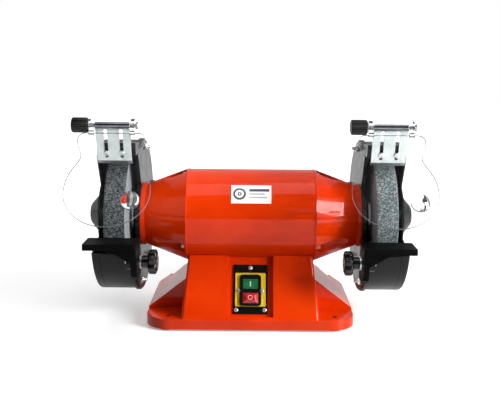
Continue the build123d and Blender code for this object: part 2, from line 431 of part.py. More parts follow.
def build_end_bell(name):
    """Conical cast end bell, with its bearing seat and three pockets for the tie bolt heads."""
    side = SIDES[name]
    with BuildPart() as bell_hollow:
        with BuildSketch(PROFILE):
            with BuildLine():
                Polyline(
                    (side * BELL_HOLLOW_START, 0),
                    (side * BELL_HOLLOW_START, BELL_HOLLOW_R),
                    (side * BELL_HOLLOW_MID, BELL_HOLLOW_R),
                    (side * BELL_HOLLOW_END, BELL_HOLLOW_END_R),
                    (side * BELL_HOLLOW_END, 0),
                    close=True,
                )
            make_face()
        revolve(axis=SHAFT_AXIS)
        start, length = across(side, SHELL_HALF, BELL_LIP_X + OVERCUT)
        with BuildSketch(start):
            with Locations([polar(TIE_R, angle) for angle in TIE_ANGLES]):
                Circle(TIE_POCKET_R + TIE_POCKET_WALL)
        extrude(amount=length, mode=Mode.SUBTRACT)
    with BuildPart() as bell:
        with BuildSketch(PROFILE):
            with BuildLine():
                Polyline(
                    (side * BELL_SPIGOT_X, 0),
                    (side * BELL_SPIGOT_X, SHELL_R - SHELL_WALL - FIT_GAP),
                    (side * SHELL_HALF, SHELL_R - SHELL_WALL - FIT_GAP),
                    (side * SHELL_HALF, BELL_BIG_R - BELL_EDGE),
                    (side * (SHELL_HALF + BELL_EDGE), BELL_BIG_R),
                    (side * BELL_LIP_X, BELL_SMALL_R - BELL_NECK),
                    (side * BELL_LIP_X, BELL_SMALL_R + BELL_STEP),
                    (side * BELL_END_X, BELL_SMALL_R + BELL_STEP),
                    (side * BELL_END_X, 0),
                    close=True,
                )
            make_face()
        revolve(axis=SHAFT_AXIS)
        add(bell_hollow.part, mode=Mode.SUBTRACT)
        pocket_start, pocket_length = across(side, TIE_SEAT_X, TIE_POCKET_END)
        with BuildSketch(pocket_start):
            with Locations([polar(TIE_R, angle) for angle in TIE_ANGLES]):
                Circle(TIE_POCKET_R)
        extrude(amount=pocket_length, mode=Mode.SUBTRACT)
        hole_start, hole_length = across(side, BELL_HOLLOW_START, TIE_SEAT_X + OVERCUT)
        with BuildSketch(hole_start):
            with Locations([polar(TIE_R, angle) for angle in TIE_ANGLES]):
                Circle(TIE_HOLE_R)
        extrude(amount=hole_length, mode=Mode.SUBTRACT)
        seat_start, seat_length = across(side, BELL_BORE_X, BEARING_X + BEARING_W)
        with BuildSketch(seat_start):
            Circle(BEARING_R)
        extrude(amount=seat_length, mode=Mode.SUBTRACT)
        bore_start, bore_length = across(side, BELL_BORE_X, BELL_END_X + OVERCUT)
        with BuildSketch(bore_start):
            Circle(SHAFT_RELIEF_R)
        extrude(amount=bore_length, mode=Mode.SUBTRACT)
        thread_start, thread_length = across(side, BELL_END_X - BELL_THREAD_DEPTH, BELL_END_X + OVERCUT)
        with BuildSketch(thread_start):
            with PolarLocations(BELL_BOLT_PITCH, BELL_BOLT_COUNT, start_angle=BELL_BOLT_START):
                Circle(BELL_THREAD_R)
        extrude(amount=thread_length, mode=Mode.SUBTRACT)
    bell.part.label = f"{name}_end_bell"
    export_step(bell.part, f"parts/{name}_end_bell.step")


with BuildPart() as tie_bolts:
    tie_points = [polar(TIE_R, angle) for angle in TIE_ANGLES]
    with BuildSketch(shaft_plane(-TIE_SEAT_X)):
        with Locations(tie_points):
            Circle(TIE_BOLT_R)
    extrude(amount=2 * TIE_SEAT_X)
    for head_x in (-TIE_SEAT_X - TIE_HEAD_H, TIE_SEAT_X):
        with BuildSketch(shaft_plane(head_x)):
            with Locations(tie_points):
                RegularPolygon(TIE_HEAD_R, 6)
        extrude(amount=TIE_HEAD_H)
tie_bolts.part.label = "tie_bolts"
export_step(tie_bolts.part, "parts/tie_bolts.step")

with BuildPart() as bearing_outer_rings:
    for side in SIDES.values():
        ring_start, ring_width = across(side, BEARING_X, BEARING_X + BEARING_W)
        with BuildSketch(ring_start):
            Circle(BEARING_R)
            Circle(BALL_PITCH_R + BALL_R + BALL_GAP, mode=Mode.SUBTRACT)
        extrude(amount=ring_width)
bearing_outer_rings.part.label = "bearing_outer_rings"
export_step(bearing_outer_rings.part, "parts/bearing_outer_rings.step")

with BuildPart() as bearing_inner_rings:
    for side in SIDES.values():
        ring_start, ring_width = across(side, BEARING_X, BEARING_X + BEARING_W)
        with BuildSketch(ring_start):
            Circle(BALL_PITCH_R - BALL_R - BALL_GAP)
            Circle(BEARING_BORE, mode=Mode.SUBTRACT)
        extrude(amount=ring_width)
bearing_inner_rings.part.label = "bearing_inner_rings"
export_step(bearing_inner_rings.part, "parts/bearing_inner_rings.step")

with BuildPart() as bearing_balls:
    for side in SIDES.values():
        with Locations(shaft_plane(side * (BEARING_X + BEARING_W / 2))):
            with PolarLocations(BALL_PITCH_R, BALL_COUNT):
                Sphere(BALL_R)
bearing_balls.part.label = "bearing_balls"
export_step(bearing_balls.part, "parts/bearing_balls.step")

with BuildPart() as rotor_shaft:
    with BuildSketch(PROFILE):
        with BuildLine():
            Polyline(
                (-SPINDLE_END, 0),
                (-SPINDLE_END, SPINDLE_R - SPINDLE_CHAMFER),
                (-SPINDLE_END + SPINDLE_CHAMFER, SPINDLE_R),
                (-SHOULDER_X, SPINDLE_R),
                (-SHOULDER_X, BEARING_BORE),
                (-BEARING_X, BEARING_BORE),
                (-BEARING_X, SHAFT_BODY_R),
                (BEARING_X, SHAFT_BODY_R),
                (BEARING_X, BEARING_BORE),
                (SHOULDER_X, BEARING_BORE),
                (SHOULDER_X, SPINDLE_R),
                (SPINDLE_END - SPINDLE_CHAMFER, SPINDLE_R),
                (SPINDLE_END, SPINDLE_R - SPINDLE_CHAMFER),
                (SPINDLE_END, 0),
                close=True,
            )
        make_face()
    revolve(axis=SHAFT_AXIS)
rotor_shaft.part.label = "rotor_shaft"
export_step(rotor_shaft.part, "parts/rotor_shaft.step")

with BuildPart() as rotor_core:
    with BuildSketch(PROFILE):
        with BuildLine():
            Polyline(
                (-END_RING_X, END_RING_LOW),
                (-END_RING_X, END_RING_HIGH),
                (-STATOR_HALF, END_RING_HIGH),
                (-STATOR_HALF, ROTOR_R),
                (STATOR_HALF, ROTOR_R),
                (STATOR_HALF, END_RING_HIGH),
                (END_RING_X, END_RING_HIGH),
                (END_RING_X, END_RING_LOW),
                (STATOR_HALF, END_RING_LOW),
                (STATOR_HALF, SHAFT_BODY_R),
                (-STATOR_HALF, SHAFT_BODY_R),
                (-STATOR_HALF, END_RING_LOW),
                close=True,
            )
        make_face()
    revolve(axis=SHAFT_AXIS)
rotor_core.part.label = "rotor_core"
export_step(rotor_core.part, "parts/rotor_core.step")

with BuildPart() as start_capacitor:
    with BuildSketch(Plane.YZ.offset(CAN_X)):
        with Locations((CAN_Y, CAN_Z)):
            Circle(CAN_R)
    extrude(amount=CAN_LENGTH)
    with BuildSketch(Plane.YZ.offset(CAN_X + CAN_LENGTH)):
        with Locations((CAN_Y - TAB_SPREAD, CAN_Z), (CAN_Y + TAB_SPREAD, CAN_Z)):
            Rectangle(TAB_T, TAB_W)
    extrude(amount=TAB_LENGTH)
start_capacitor.part.label = "start_capacitor"
export_step(start_capacitor.part, "parts/start_capacitor.step")

with BuildPart() as cable_gland:
    gland_tip_y = GLAND_SEAT_Y + GLAND_HEX_H + GLAND_CAP_H
    with BuildSketch(Plane.XZ.offset(-GLAND_SEAT_Y)):
        with Locations((GLAND_X, GLAND_Z)):
            Circle(GLAND_BODY_R)
    extrude(amount=GLAND_SEAT_Y - GLAND_INNER_Y + GLAND_TAIL)
    with BuildSketch(Plane.XZ.offset(-GLAND_SEAT_Y - GLAND_HEX_H)):
        with Locations((GLAND_X, GLAND_Z)):
            RegularPolygon(GLAND_HEX_R, 6)
    extrude(amount=GLAND_HEX_H)
    with BuildSketch(Plane.XZ.offset(-gland_tip_y)):
        with Locations((GLAND_X, GLAND_Z)):
            Circle(GLAND_CAP_R)
    extrude(amount=GLAND_CAP_H, taper=GLAND_CAP_TAPER)
    with BuildSketch(Plane.XZ.offset(-gland_tip_y - OVERCUT)):
        with Locations((GLAND_X, GLAND_Z)):
            Circle(GLAND_BORE_R)
    extrude(amount=GLAND_BORE_CUT, mode=Mode.SUBTRACT)
cable_gland.part.label = "cable_gland"
export_step(cable_gland.part, "parts/cable_gland.step")

with BuildPart() as gland_nut:
    with BuildSketch(Plane.XZ.offset(-GLAND_INNER_Y)):
        with Locations((GLAND_X, GLAND_Z)):
            RegularPolygon(GLAND_NUT_R, 6)
            Circle(GLAND_HOLE_R, mode=Mode.SUBTRACT)
    extrude(amount=GLAND_NUT_T)
gland_nut.part.label = "gland_nut"
export_step(gland_nut.part, "parts/gland_nut.step")

with BuildPart() as badge_plate:
    badge_out = SHELL_R + BADGE_T
    badge_in = SHELL_R + FIT_GAP
    with BuildSketch(shaft_plane(-BADGE_W / 2)):
        with BuildLine():
            CenterArc((0, 0), badge_out, BADGE_ANGLE, BADGE_SPAN)
            CenterArc((0, 0), badge_in, BADGE_ANGLE, BADGE_SPAN)
            Line(polar(badge_in, BADGE_ANGLE), polar(badge_out, BADGE_ANGLE))
            Line(polar(badge_in, BADGE_ANGLE + BADGE_SPAN), polar(badge_out, BADGE_ANGLE + BADGE_SPAN))
        make_face()
    extrude(amount=BADGE_W)
badge_plate.part.label = "badge_plate"
export_step(badge_plate.part, "parts/badge_plate.step")

# ---------------------------------------------------------------- switch
with BuildPart() as switch_plate:
    with BuildSketch(SWITCH):
        RectangleRounded(PLATE_W, PLATE_H, PLATE_CORNER)
        with Locations((0, WINDOW_V)):
            Rectangle(HOUSING_W + SHEET_GAP, HOUSING_H + SHEET_GAP, mode=Mode.SUBTRACT)
        with Locations(*PLATE_SCREWS):
            Circle(PLATE_PASS_R, mode=Mode.SUBTRACT)
    extrude(amount=PLATE_T)
switch_plate.part.label = "switch_plate"
export_step(switch_plate.part, "parts/switch_plate.step")

with BuildPart() as switch_plate_screws:
    with BuildSketch(SWITCH.offset(PLATE_T)):
        with Locations(*PLATE_SCREWS):
            Circle(PLATE_HEAD_R)
    extrude(amount=PLATE_HEAD_H)
    with BuildSketch(SWITCH.offset(-PLATE_SCREW_TAIL)):
        with Locations(*PLATE_SCREWS):
            Circle(PLATE_SHANK_R)
    extrude(amount=PLATE_SCREW_TAIL + PLATE_T)
    with BuildSketch(SWITCH.offset(PLATE_T + PLATE_CROSS_RISE)):
        with Locations(*PLATE_SCREWS):
            Rectangle(PLATE_CROSS_L, CROSS_W, mode=Mode.ADD)
            Rectangle(CROSS_W, PLATE_CROSS_L, mode=Mode.ADD)
    extrude(amount=PLATE_HEAD_H, mode=Mode.SUBTRACT)
switch_plate_screws.part.label = "switch_plate_screws"
export_step(switch_plate_screws.part, "parts/switch_plate_screws.step")

with BuildPart() as switch_housing:
    with BuildSketch(SWITCH.offset(-SWITCH_DEPTH)):
        with Locations((0, WINDOW_V)):
            RectangleRounded(HOUSING_W, HOUSING_H, HOUSING_CORNER)
    extrude(amount=SWITCH_DEPTH + HOUSING_RISE)
    with BuildSketch(SWITCH.offset(-BUTTON_POCKET)):
        with Locations((0, START_V)):
            Rectangle(START_W + 2 * BUTTON_GAP, START_H + 2 * BUTTON_GAP)
        with Locations((0, STOP_V)):
            Rectangle(STOP_W + 2 * BUTTON_GAP, STOP_H + 2 * BUTTON_GAP)
    extrude(amount=TOOL_CLEAR, mode=Mode.SUBTRACT)
    # Notches that leave room for the lugs and screws of the frame.
    with BuildSketch(SWITCH.offset(PLATE_T)):
        with Locations(*FRAME_SCREWS):
            Circle(FRAME_NOTCH_R)
    extrude(amount=TOOL_CLEAR, mode=Mode.SUBTRACT)
switch_housing.part.label = "switch_housing"
export_step(switch_housing.part, "parts/switch_housing.step")

with BuildPart() as switch_frame:
    with BuildSketch(SWITCH.offset(PLATE_T)):
        with Locations((0, FRAME_V)):
            RectangleRounded(FRAME_W, FRAME_H, FRAME_CORNER)
        with Locations((0, WINDOW_V)):
            RectangleRounded(
                HOUSING_W + SHEET_GAP, HOUSING_H + SHEET_GAP, HOUSING_CORNER, mode=Mode.SUBTRACT
            )
        with Locations(*FRAME_SCREWS):
            Circle(FRAME_LUG_R)
        with Locations(*FRAME_SCREWS):
            Circle(FRAME_PASS_R, mode=Mode.SUBTRACT)
    extrude(amount=FRAME_T)
switch_frame.part.label = "switch_frame"
export_step(switch_frame.part, "parts/switch_frame.step")

with BuildPart() as switch_frame_screws:
    with BuildSketch(SWITCH.offset(PLATE_T + FRAME_T)):
        with Locations(*FRAME_SCREWS):
            Circle(FRAME_HEAD_R)
    extrude(amount=FRAME_HEAD_H)
    with BuildSketch(SWITCH.offset(PLATE_T)):
        with Locations(*FRAME_SCREWS):
            Circle(FRAME_SHANK_R)
    extrude(amount=FRAME_T)
    with BuildSketch(SWITCH.offset(PLATE_T + FRAME_T + FRAME_CROSS_RISE)):
        with Locations(*FRAME_SCREWS):
            Rectangle(FRAME_CROSS_L, CROSS_W, mode=Mode.ADD)
            Rectangle(CROSS_W, FRAME_CROSS_L, mode=Mode.ADD)
    extrude(amount=FRAME_HEAD_H, mode=Mode.SUBTRACT)
switch_frame_screws.part.label = "switch_frame_screws"
export_step(switch_frame_screws.part, "parts/switch_frame_screws.step")

with BuildPart() as start_button:
    with BuildSketch(SWITCH.offset(-BUTTON_ROOT)):
        with Locations((0, START_V)):
            Rectangle(START_W, START_H)
    extrude(amount=START_DEEP)
    chamfer(start_button.faces().sort_by(Axis(SWITCH.origin, SWITCH.z_dir))[-1].edges(), BUTTON_EDGE)
start_button.part.label = "start_button"
export_step(start_button.part, "parts/start_button.step")

with BuildPart() as stop_button:
    with BuildSketch(SWITCH.offset(-BUTTON_ROOT)):
        with Locations((0, STOP_V)):
            Rectangle(STOP_W, STOP_H)
    extrude(amount=STOP_DEEP)
    with BuildSketch(SWITCH.offset(STOP_DEEP - BUTTON_ROOT)):
        with Locations((0, STOP_V)):
            Rectangle(STOP_W, STOP_H)
    with BuildSketch(SWITCH.offset(STOP_RISE)):
        with Locations((0, STOP_V)):
            Rectangle(STOP_W - STOP_TOP_W, STOP_H - STOP_TOP_H)
    loft()
stop_button.part.label = "stop_button"
export_step(stop_button.part, "parts/stop_button.step")


# ---------------------------------------------------------------- wheels and spindle
def build_wheel(name):
    """Grinding wheel with its bore on the spindle."""
    start, width = across(SIDES[name], WHEEL_X, WHEEL_X + WHEEL_W)
    with BuildPart() as wheel:
        with BuildSketch(start):
            Circle(WHEEL_R)
            Circle(SPINDLE_R, mode=Mode.SUBTRACT)
        extrude(amount=width)
    wheel.part.label = f"{name}_wheel"
    export_step(wheel.part, f"parts/{name}_wheel.step")


def build_wheel_flange(name, place, contact_x, outward):
    """Dished clamping flange; outward is the side that faces away from the wheel."""
    side = SIDES[name]
    with BuildPart() as wheel_flange:
        with BuildSketch(PROFILE):
            with BuildLine():
                Polyline(
                    (side * contact_x, FLANGE_R),
                    (side * contact_x, FLANGE_R - FLANGE_LAND),
                    (side * (contact_x + outward * FLANGE_DISH), FLANGE_R - FLANGE_LAND - OVERCUT),
                    (side * (contact_x + outward * FLANGE_DISH), SPINDLE_R),
                    (side * (contact_x + outward * FLANGE_T), SPINDLE_R),
                    (side * (contact_x + outward * FLANGE_T), FLANGE_HUB_R),
                    (side * (contact_x + outward * FLANGE_RIM), FLANGE_R),
                    close=True,
                )
            make_face()
        revolve(axis=SHAFT_AXIS)
    wheel_flange.part.label = f"{name}_{place}_flange"
    export_step(wheel_flange.part, f"parts/{name}_{place}_flange.step")


def build_spindle_nut(name):
    """Hexagon nut that clamps the outer flange."""
    nut_x = WHEEL_X + WHEEL_W + BLOTTER_T + FLANGE_T
    start, width = across(SIDES[name], nut_x, nut_x + SPINDLE_NUT_W)
    with BuildPart() as spindle_nut:
        with BuildSketch(start):
            RegularPolygon(SPINDLE_NUT_R, 6)
            Circle(SPINDLE_R, mode=Mode.SUBTRACT)
        extrude(amount=width)
    spindle_nut.part.label = f"{name}_spindle_nut"
    export_step(spindle_nut.part, f"parts/{name}_spindle_nut.step")


with BuildPart() as wheel_blotters:
    for side in SIDES.values():
        for blotter_x in (WHEEL_X - BLOTTER_T, WHEEL_X + WHEEL_W):
            blotter_start, blotter_width = across(side, blotter_x, blotter_x + BLOTTER_T)
            with BuildSketch(blotter_start):
                Circle(FLANGE_R + BLOTTER_EXTRA)
                Circle(SPINDLE_R, mode=Mode.SUBTRACT)
            extrude(amount=blotter_width)
wheel_blotters.part.label = "wheel_blotters"
export_step(wheel_blotters.part, "parts/wheel_blotters.step")


# ---------------------------------------------------------------- guards
def work_opening(side):
    """The mouth cut through guard and cover: an arc round the spindle and two straight edges."""
    start, length = across(side, GUARD_X - CUT_SPARE, COVER_X + CUT_SPARE)
    top = polar(CUT_ARC_R, CUT_TOP_ANGLE)
    low = polar(CUT_ARC_R, CUT_LOW_ANGLE)
    with BuildPart() as mouth:
        with BuildSketch(start):
            with BuildLine():
                ThreePointArc(top, (-CUT_ARC_R, 0), low)
                Polyline(
                    low,
                    CUT_LIP,
                    (CUT_FAR_Y, CUT_FAR_LOW),
                    (CUT_FAR_Y, CUT_TOP),
                    (CUT_BACK, CUT_TOP),
                    top,
                )
            make_face()
        extrude(amount=length)
    return mouth.part


def build_guard(name):
    """Cast guard: motor-side wall, band round the wheel, arrestor pad and tool rest lug."""
    side = SIDES[name]
    with BuildPart() as guard:
        with BuildSketch(PROFILE):
            with BuildLine():
                Polyline(
                    (side * GUARD_X, GUARD_BORE_R),
                    (side * GUARD_X, GUARD_BAND_OUT),
                    (side * (GUARD_X + GUARD_BEAD), GUARD_R),
                    (side * (GUARD_X + GUARD_BEAD_W), GUARD_R),
                    (side * (GUARD_X + GUARD_BEAD_W), GUARD_BAND_OUT),
                    (side * GUARD_EDGE_X, GUARD_BAND_OUT),
                    (side * GUARD_EDGE_X, GUARD_BAND_IN),
                    (side * (GUARD_X + GUARD_WALL), GUARD_BAND_IN),
                    (side * (GUARD_X + GUARD_WALL), GUARD_BORE_R),
                    close=True,
                )
            make_face()
        revolve(axis=SHAFT_AXIS)
        add(work_opening(side), mode=Mode.SUBTRACT)
        # Pad with a leaning front face, just above the mouth.
        pad_start, pad_length = across(side, GUARD_X, GUARD_EDGE_X)
        lean = tan(radians(ARRESTOR_LEAN))
        with BuildSketch(pad_start):
            with BuildLine():
                Polyline(
                    (ARRESTOR_Y + PAD_LOW_V * lean, PAD_LOW_Z),
                    (ARRESTOR_Y - PAD_HIGH_V * lean, PAD_HIGH_Z),
                    (PAD_BACK_Y, PAD_BACK_TOP),
                    (PAD_BACK_Y, PAD_BACK_LOW),
                    (PAD_TOE_Y, PAD_LOW_Z),
                    close=True,
                )
            make_face()
            Circle(GUARD_BAND_IN, mode=Mode.SUBTRACT)
        extrude(amount=pad_length)
        with BuildSketch(arrestor_plane(side * CENTRE_X).offset(-PAD_HOLE_DEPTH)):
            with Locations((-SLOT_X, 0), (SLOT_X, 0)):
                Circle(PAD_HOLE_R)
        extrude(amount=PAD_HOLE_DEPTH + OVERCUT, mode=Mode.SUBTRACT)
        # Lug for the tool rest's stud.
        lug_start, lug_length = across(side, GUARD_X, GUARD_X + LUG_T)
        with BuildSketch(lug_start):
            with Locations((STUD_Y, STUD_Z - SHAFT_Z)):
                Circle(LUG_R)
            with Locations((STUD_Y + LUG_RUN / 2, STUD_Z - SHAFT_Z)):
                Rectangle(LUG_RUN, 2 * LUG_R)
        extrude(amount=lug_length)
        with BuildSketch(lug_start):
            with Locations((STUD_Y, STUD_Z - SHAFT_Z)):
                Circle(STUD_R + FIT_GAP)
        extrude(amount=lug_length, mode=Mode.SUBTRACT)
        bolt_start, bolt_length = across(side, GUARD_X - OVERCUT, GUARD_X + GUARD_WALL + OVERCUT)
        with BuildSketch(bolt_start):
            with Locations([polar(COVER_BOLT_R, angle) for angle in COVER_BOLT_ANGLES]):
                Circle(BOLT_PASS_R)
            with PolarLocations(BELL_BOLT_PITCH, BELL_BOLT_COUNT, start_angle=BELL_BOLT_START):
                Circle(BOLT_PASS_R)
        extrude(amount=bolt_length, mode=Mode.SUBTRACT)
    guard.part.label = f"{name}_wheel_guard"
    export_step(guard.part, f"parts/{name}_wheel_guard.step")


def build_guard_cover(name):
    """Pressed outer cover with a flat rim and a cone over the spindle nut."""
    side = SIDES[name]
    rim_r = GUARD_BAND_OUT
    with BuildPart() as guard_cover:
        with BuildSketch(PROFILE):
            with BuildLine():
                Polyline(
                    (side * (GUARD_EDGE_X + COVER_JOINT), rim_r),
                    (side * (COVER_X - COVER_ROUND), rim_r),
                    (side * (COVER_X - COVER_ROUND_MID), rim_r - COVER_ROUND_MID),
                    (side * COVER_X, rim_r - COVER_ROUND),
                    (side * COVER_X, DOME_FOOT_R),
                    (side * (COVER_X + DOME_EDGE), DOME_EDGE_R),
                    (side * (COVER_X + DOME_TOP), DOME_TOP_R),
                    (side * (COVER_X + DOME_TOP), 0),
                    (side * (COVER_X + DOME_EDGE), 0),
                    (side * (COVER_X + DOME_EDGE), DOME_IN_R),
                    (side * (COVER_X + DOME_IN_EDGE), DOME_IN_EDGE_R),
                    (side * (COVER_X - DOME_WALL), DOME_IN_FOOT_R),
                    (side * (COVER_X - DOME_WALL), rim_r - DOME_WALL),
                    (side * (GUARD_EDGE_X + COVER_JOINT), rim_r - DOME_WALL),
                    close=True,
                )
            make_face()
        revolve(axis=SHAFT_AXIS)
        add(work_opening(side), mode=Mode.SUBTRACT)
        bolt_start, bolt_length = across(side, COVER_X - CUT_SPARE, COVER_X + OVERCUT)
        with BuildSketch(bolt_start):
            with Locations([polar(COVER_BOLT_R, angle) for angle in COVER_BOLT_ANGLES]):
                Circle(BOLT_PASS_R)
        extrude(amount=bolt_length, mode=Mode.SUBTRACT)
    guard_cover.part.label = f"{name}_guard_cover"
    export_step(guard_cover.part, f"parts/{name}_guard_cover.step")


with BuildPart() as guard_cover_screws:
    cover_bolt_points = [polar(COVER_BOLT_R, angle) for angle in COVER_BOLT_ANGLES]
    for side in SIDES.values():
        shank_start, shank_length = across(side, GUARD_X - COVER_TAIL, COVER_X)
        with BuildSketch(shank_start):
            with Locations(cover_bolt_points):
                Circle(COVER_SCREW_R)
        extrude(amount=shank_length)
        head_start, head_length = across(side, COVER_X, COVER_X + COVER_HEAD_H)
        with BuildSketch(head_start):
            with Locations(cover_bolt_points):
                Circle(COVER_HEAD_R)
        extrude(amount=head_length)
guard_cover_screws.part.label = "guard_cover_screws"
export_step(guard_cover_screws.part, "parts/guard_cover_screws.step")

with BuildPart() as guard_cover_nuts:
    for side in SIDES.values():
        nut_start, nut_length = across(side, GUARD_X - COVER_NUT_T, GUARD_X)
        with BuildSketch(nut_start):
            with Locations(cover_bolt_points):
                RegularPolygon(COVER_NUT_R, 6)
            with Locations(cover_bolt_points):
                Circle(COVER_SCREW_R, mode=Mode.SUBTRACT)
        extrude(amount=nut_length)
guard_cover_nuts.part.label = "guard_cover_nuts"
export_step(guard_cover_nuts.part, "parts/guard_cover_nuts.step")

with BuildPart() as guard_bolts:
    for side in SIDES.values():
        head_start, head_length = across(side, GUARD_X + GUARD_WALL, GUARD_X + GUARD_WALL + BELL_BOLT_HEAD_H)
        with BuildSketch(head_start):
            with PolarLocations(BELL_BOLT_PITCH, BELL_BOLT_COUNT, start_angle=BELL_BOLT_START):
                Circle(BELL_BOLT_HEAD_R)
        extrude(amount=head_length)
        shank_start, shank_length = across(side, GUARD_X - BELL_BOLT_REACH, GUARD_X + GUARD_WALL)
        with BuildSketch(shank_start):
            with PolarLocations(BELL_BOLT_PITCH, BELL_BOLT_COUNT, start_angle=BELL_BOLT_START):
                Circle(BELL_BOLT_R)
        extrude(amount=shank_length)
guard_bolts.part.label = "guard_bolts"
export_step(guard_bolts.part, "parts/guard_bolts.step")


# ---------------------------------------------------------------- spark arrestors
with BuildPart() as arrestor_screws:
    for side in SIDES.values():
        screw_plane = arrestor_plane(side * CENTRE_X)
        clamp_level = ARRESTOR_GAP + ARRESTOR_T + SCREW_SEAT_GAP
        with BuildSketch(screw_plane.offset(clamp_level)):
            with Locations((-SLOT_X, 0), (SLOT_X, 0)):
                Circle(SCREW_HEAD_R)
        extrude(amount=SCREW_HEAD_H)
        with BuildSketch(screw_plane.offset(-SCREW_TAIL)):
            with Locations((-SLOT_X, 0), (SLOT_X, 0)):
                Circle(SCREW_R)
        extrude(amount=SCREW_TAIL + clamp_level)
        with BuildSketch(screw_plane.offset(clamp_level + SCREW_RECESS)):
            with Locations((-SLOT_X, 0), (SLOT_X, 0)):
                Rectangle(SCREW_CROSS_L, SCREW_CROSS_W, mode=Mode.ADD)
                Rectangle(SCREW_CROSS_W, SCREW_CROSS_L, mode=Mode.ADD)
        extrude(amount=SCREW_HEAD_H, mode=Mode.SUBTRACT)
arrestor_screws.part.label = "arrestor_screws"
export_step(arrestor_screws.part, "parts/arrestor_screws.step")


def build_spark_arrestor(name):
    """Slotted bracket plate: folded lower lip and an upper edge rolled round the shield rod."""
    centre = SIDES[name] * CENTRE_X
    front = arrestor_plane(centre)
    section = Plane(origin=front.origin, x_dir=-front.z_dir, z_dir=(1, 0, 0))
    back, face = -ARRESTOR_GAP, -ARRESTOR_GAP - ARRESTOR_T
    barrel = (-ROD_W, ROD_V)
    slot_mid = (SLOT_LOW + SLOT_HIGH) / 2
    with BuildPart() as spark_arrestor:
        with BuildSketch(section):
            with BuildLine():
                Polyline(
                    (face, ROD_V - PLATE_HANG),
                    (face, LIP_START),
                    (face + LIP_REACH, LIP_DROP),
                    (face + LIP_TIP_X, LIP_TIP_Y),
                    (back, LIP_ROOT),
                    (back, ROD_V - PLATE_HANG_BACK),
                    close=True,
                )
            make_face()
            with Locations(barrel):
                Circle(BARREL_R)
            with Locations(barrel):
                Circle(ROD_R + FIT_GAP, mode=Mode.SUBTRACT)
        extrude(amount=ARRESTOR_HALF, both=True)
        with BuildSketch(front.offset(-CUT_SPARE)):
            with Locations((-SLOT_X, slot_mid), (SLOT_X, slot_mid)):
                SlotOverall(SLOT_HIGH - SLOT_LOW, 2 * SLOT_HALF, rotation=90)
        extrude(amount=2 * CUT_SPARE, mode=Mode.SUBTRACT)
    spark_arrestor.part.label = f"{name}_spark_arrestor"
    export_step(spark_arrestor.part, f"parts/{name}_spark_arrestor.step")


def build_shield_rod(name):
    """Rod through bracket and shield ears, with a hexagon head on its right end."""
    centre = SIDES[name] * CENTRE_X
    origin = rod_centre(centre)
    with BuildPart() as shield_rod:
        with BuildSketch(Plane(origin=origin - Vector(ROD_LEFT, 0, 0), x_dir=(0, 1, 0), z_dir=(1, 0, 0))):
            Circle(ROD_R)
        extrude(amount=ROD_LEFT + ROD_RIGHT)
        with BuildSketch(Plane(origin=origin + Vector(ROD_RIGHT, 0, 0), x_dir=(0, 1, 0), z_dir=(1, 0, 0))):
            RegularPolygon(ROD_HEAD_R, 6)
        extrude(amount=ROD_HEAD_W)
    shield_rod.part.label = f"{name}_shield_rod"
    export_step(shield_rod.part, f"parts/{name}_shield_rod.step")


def build_eye_shield(name):
    """Clear pear-shaped shield, two ears round the rod and a hole for the magnifier."""
    centre = SIDES[name] * CENTRE_X
    middle = shield_plane(centre)
    with BuildPart() as eye_shield:
        with BuildSketch(middle.offset(-SHIELD_T / 2)):
            with BuildLine():
                Line((0, SHIELD_TOP), (SHIELD_TOP_X, SHIELD_TOP))
                ThreePointArc((SHIELD_TOP_X, SHIELD_TOP), SHIELD_SHOULDER, SHIELD_NECK_IN)
                Spline(
                    SHIELD_NECK_IN,
                    SHIELD_NECK,
                    (SHIELD_WIDE, SHIELD_WIDE_S),
                    tangents=((0, -1), (0, -1)),
                )
                EllipticalCenterArc(
                    (0, SHIELD_WIDE_S), SHIELD_WIDE, SHIELD_BOWL_H, start_angle=270, arc_size=90
                )
                Line((0, SHIELD_WIDE_S - SHIELD_BOWL_H), (0, SHIELD_TOP))
            make_face()
            mirror(about=Plane.YZ)
            with Locations((LENS_X, -LENS_S)):
                Circle(LENS_R, mode=Mode.SUBTRACT)
        extrude(amount=SHIELD_T)
        for ear_side in (-1, 1):
            ear_x = centre + min(ear_side * EAR_NEAR, ear_side * EAR_FAR)
            ear_centre = (ear_x, middle.origin.Y, middle.origin.Z)
            ear_plane = Plane(origin=ear_centre, x_dir=middle.z_dir, z_dir=(1, 0, 0))
            with BuildSketch(ear_plane):
                Circle(EAR_R)
                with Locations((0, EAR_WEB_S * ear_plane.y_dir.dot(middle.y_dir))):
                    Rectangle(EAR_WEB_W, EAR_WEB_H)
                Circle(ROD_R + FIT_GAP, mode=Mode.SUBTRACT)
            extrude(amount=EAR_FAR - EAR_NEAR)
    eye_shield.part.label = f"{name}_eye_shield"
    export_step(eye_shield.part, f"parts/{name}_eye_shield.step")


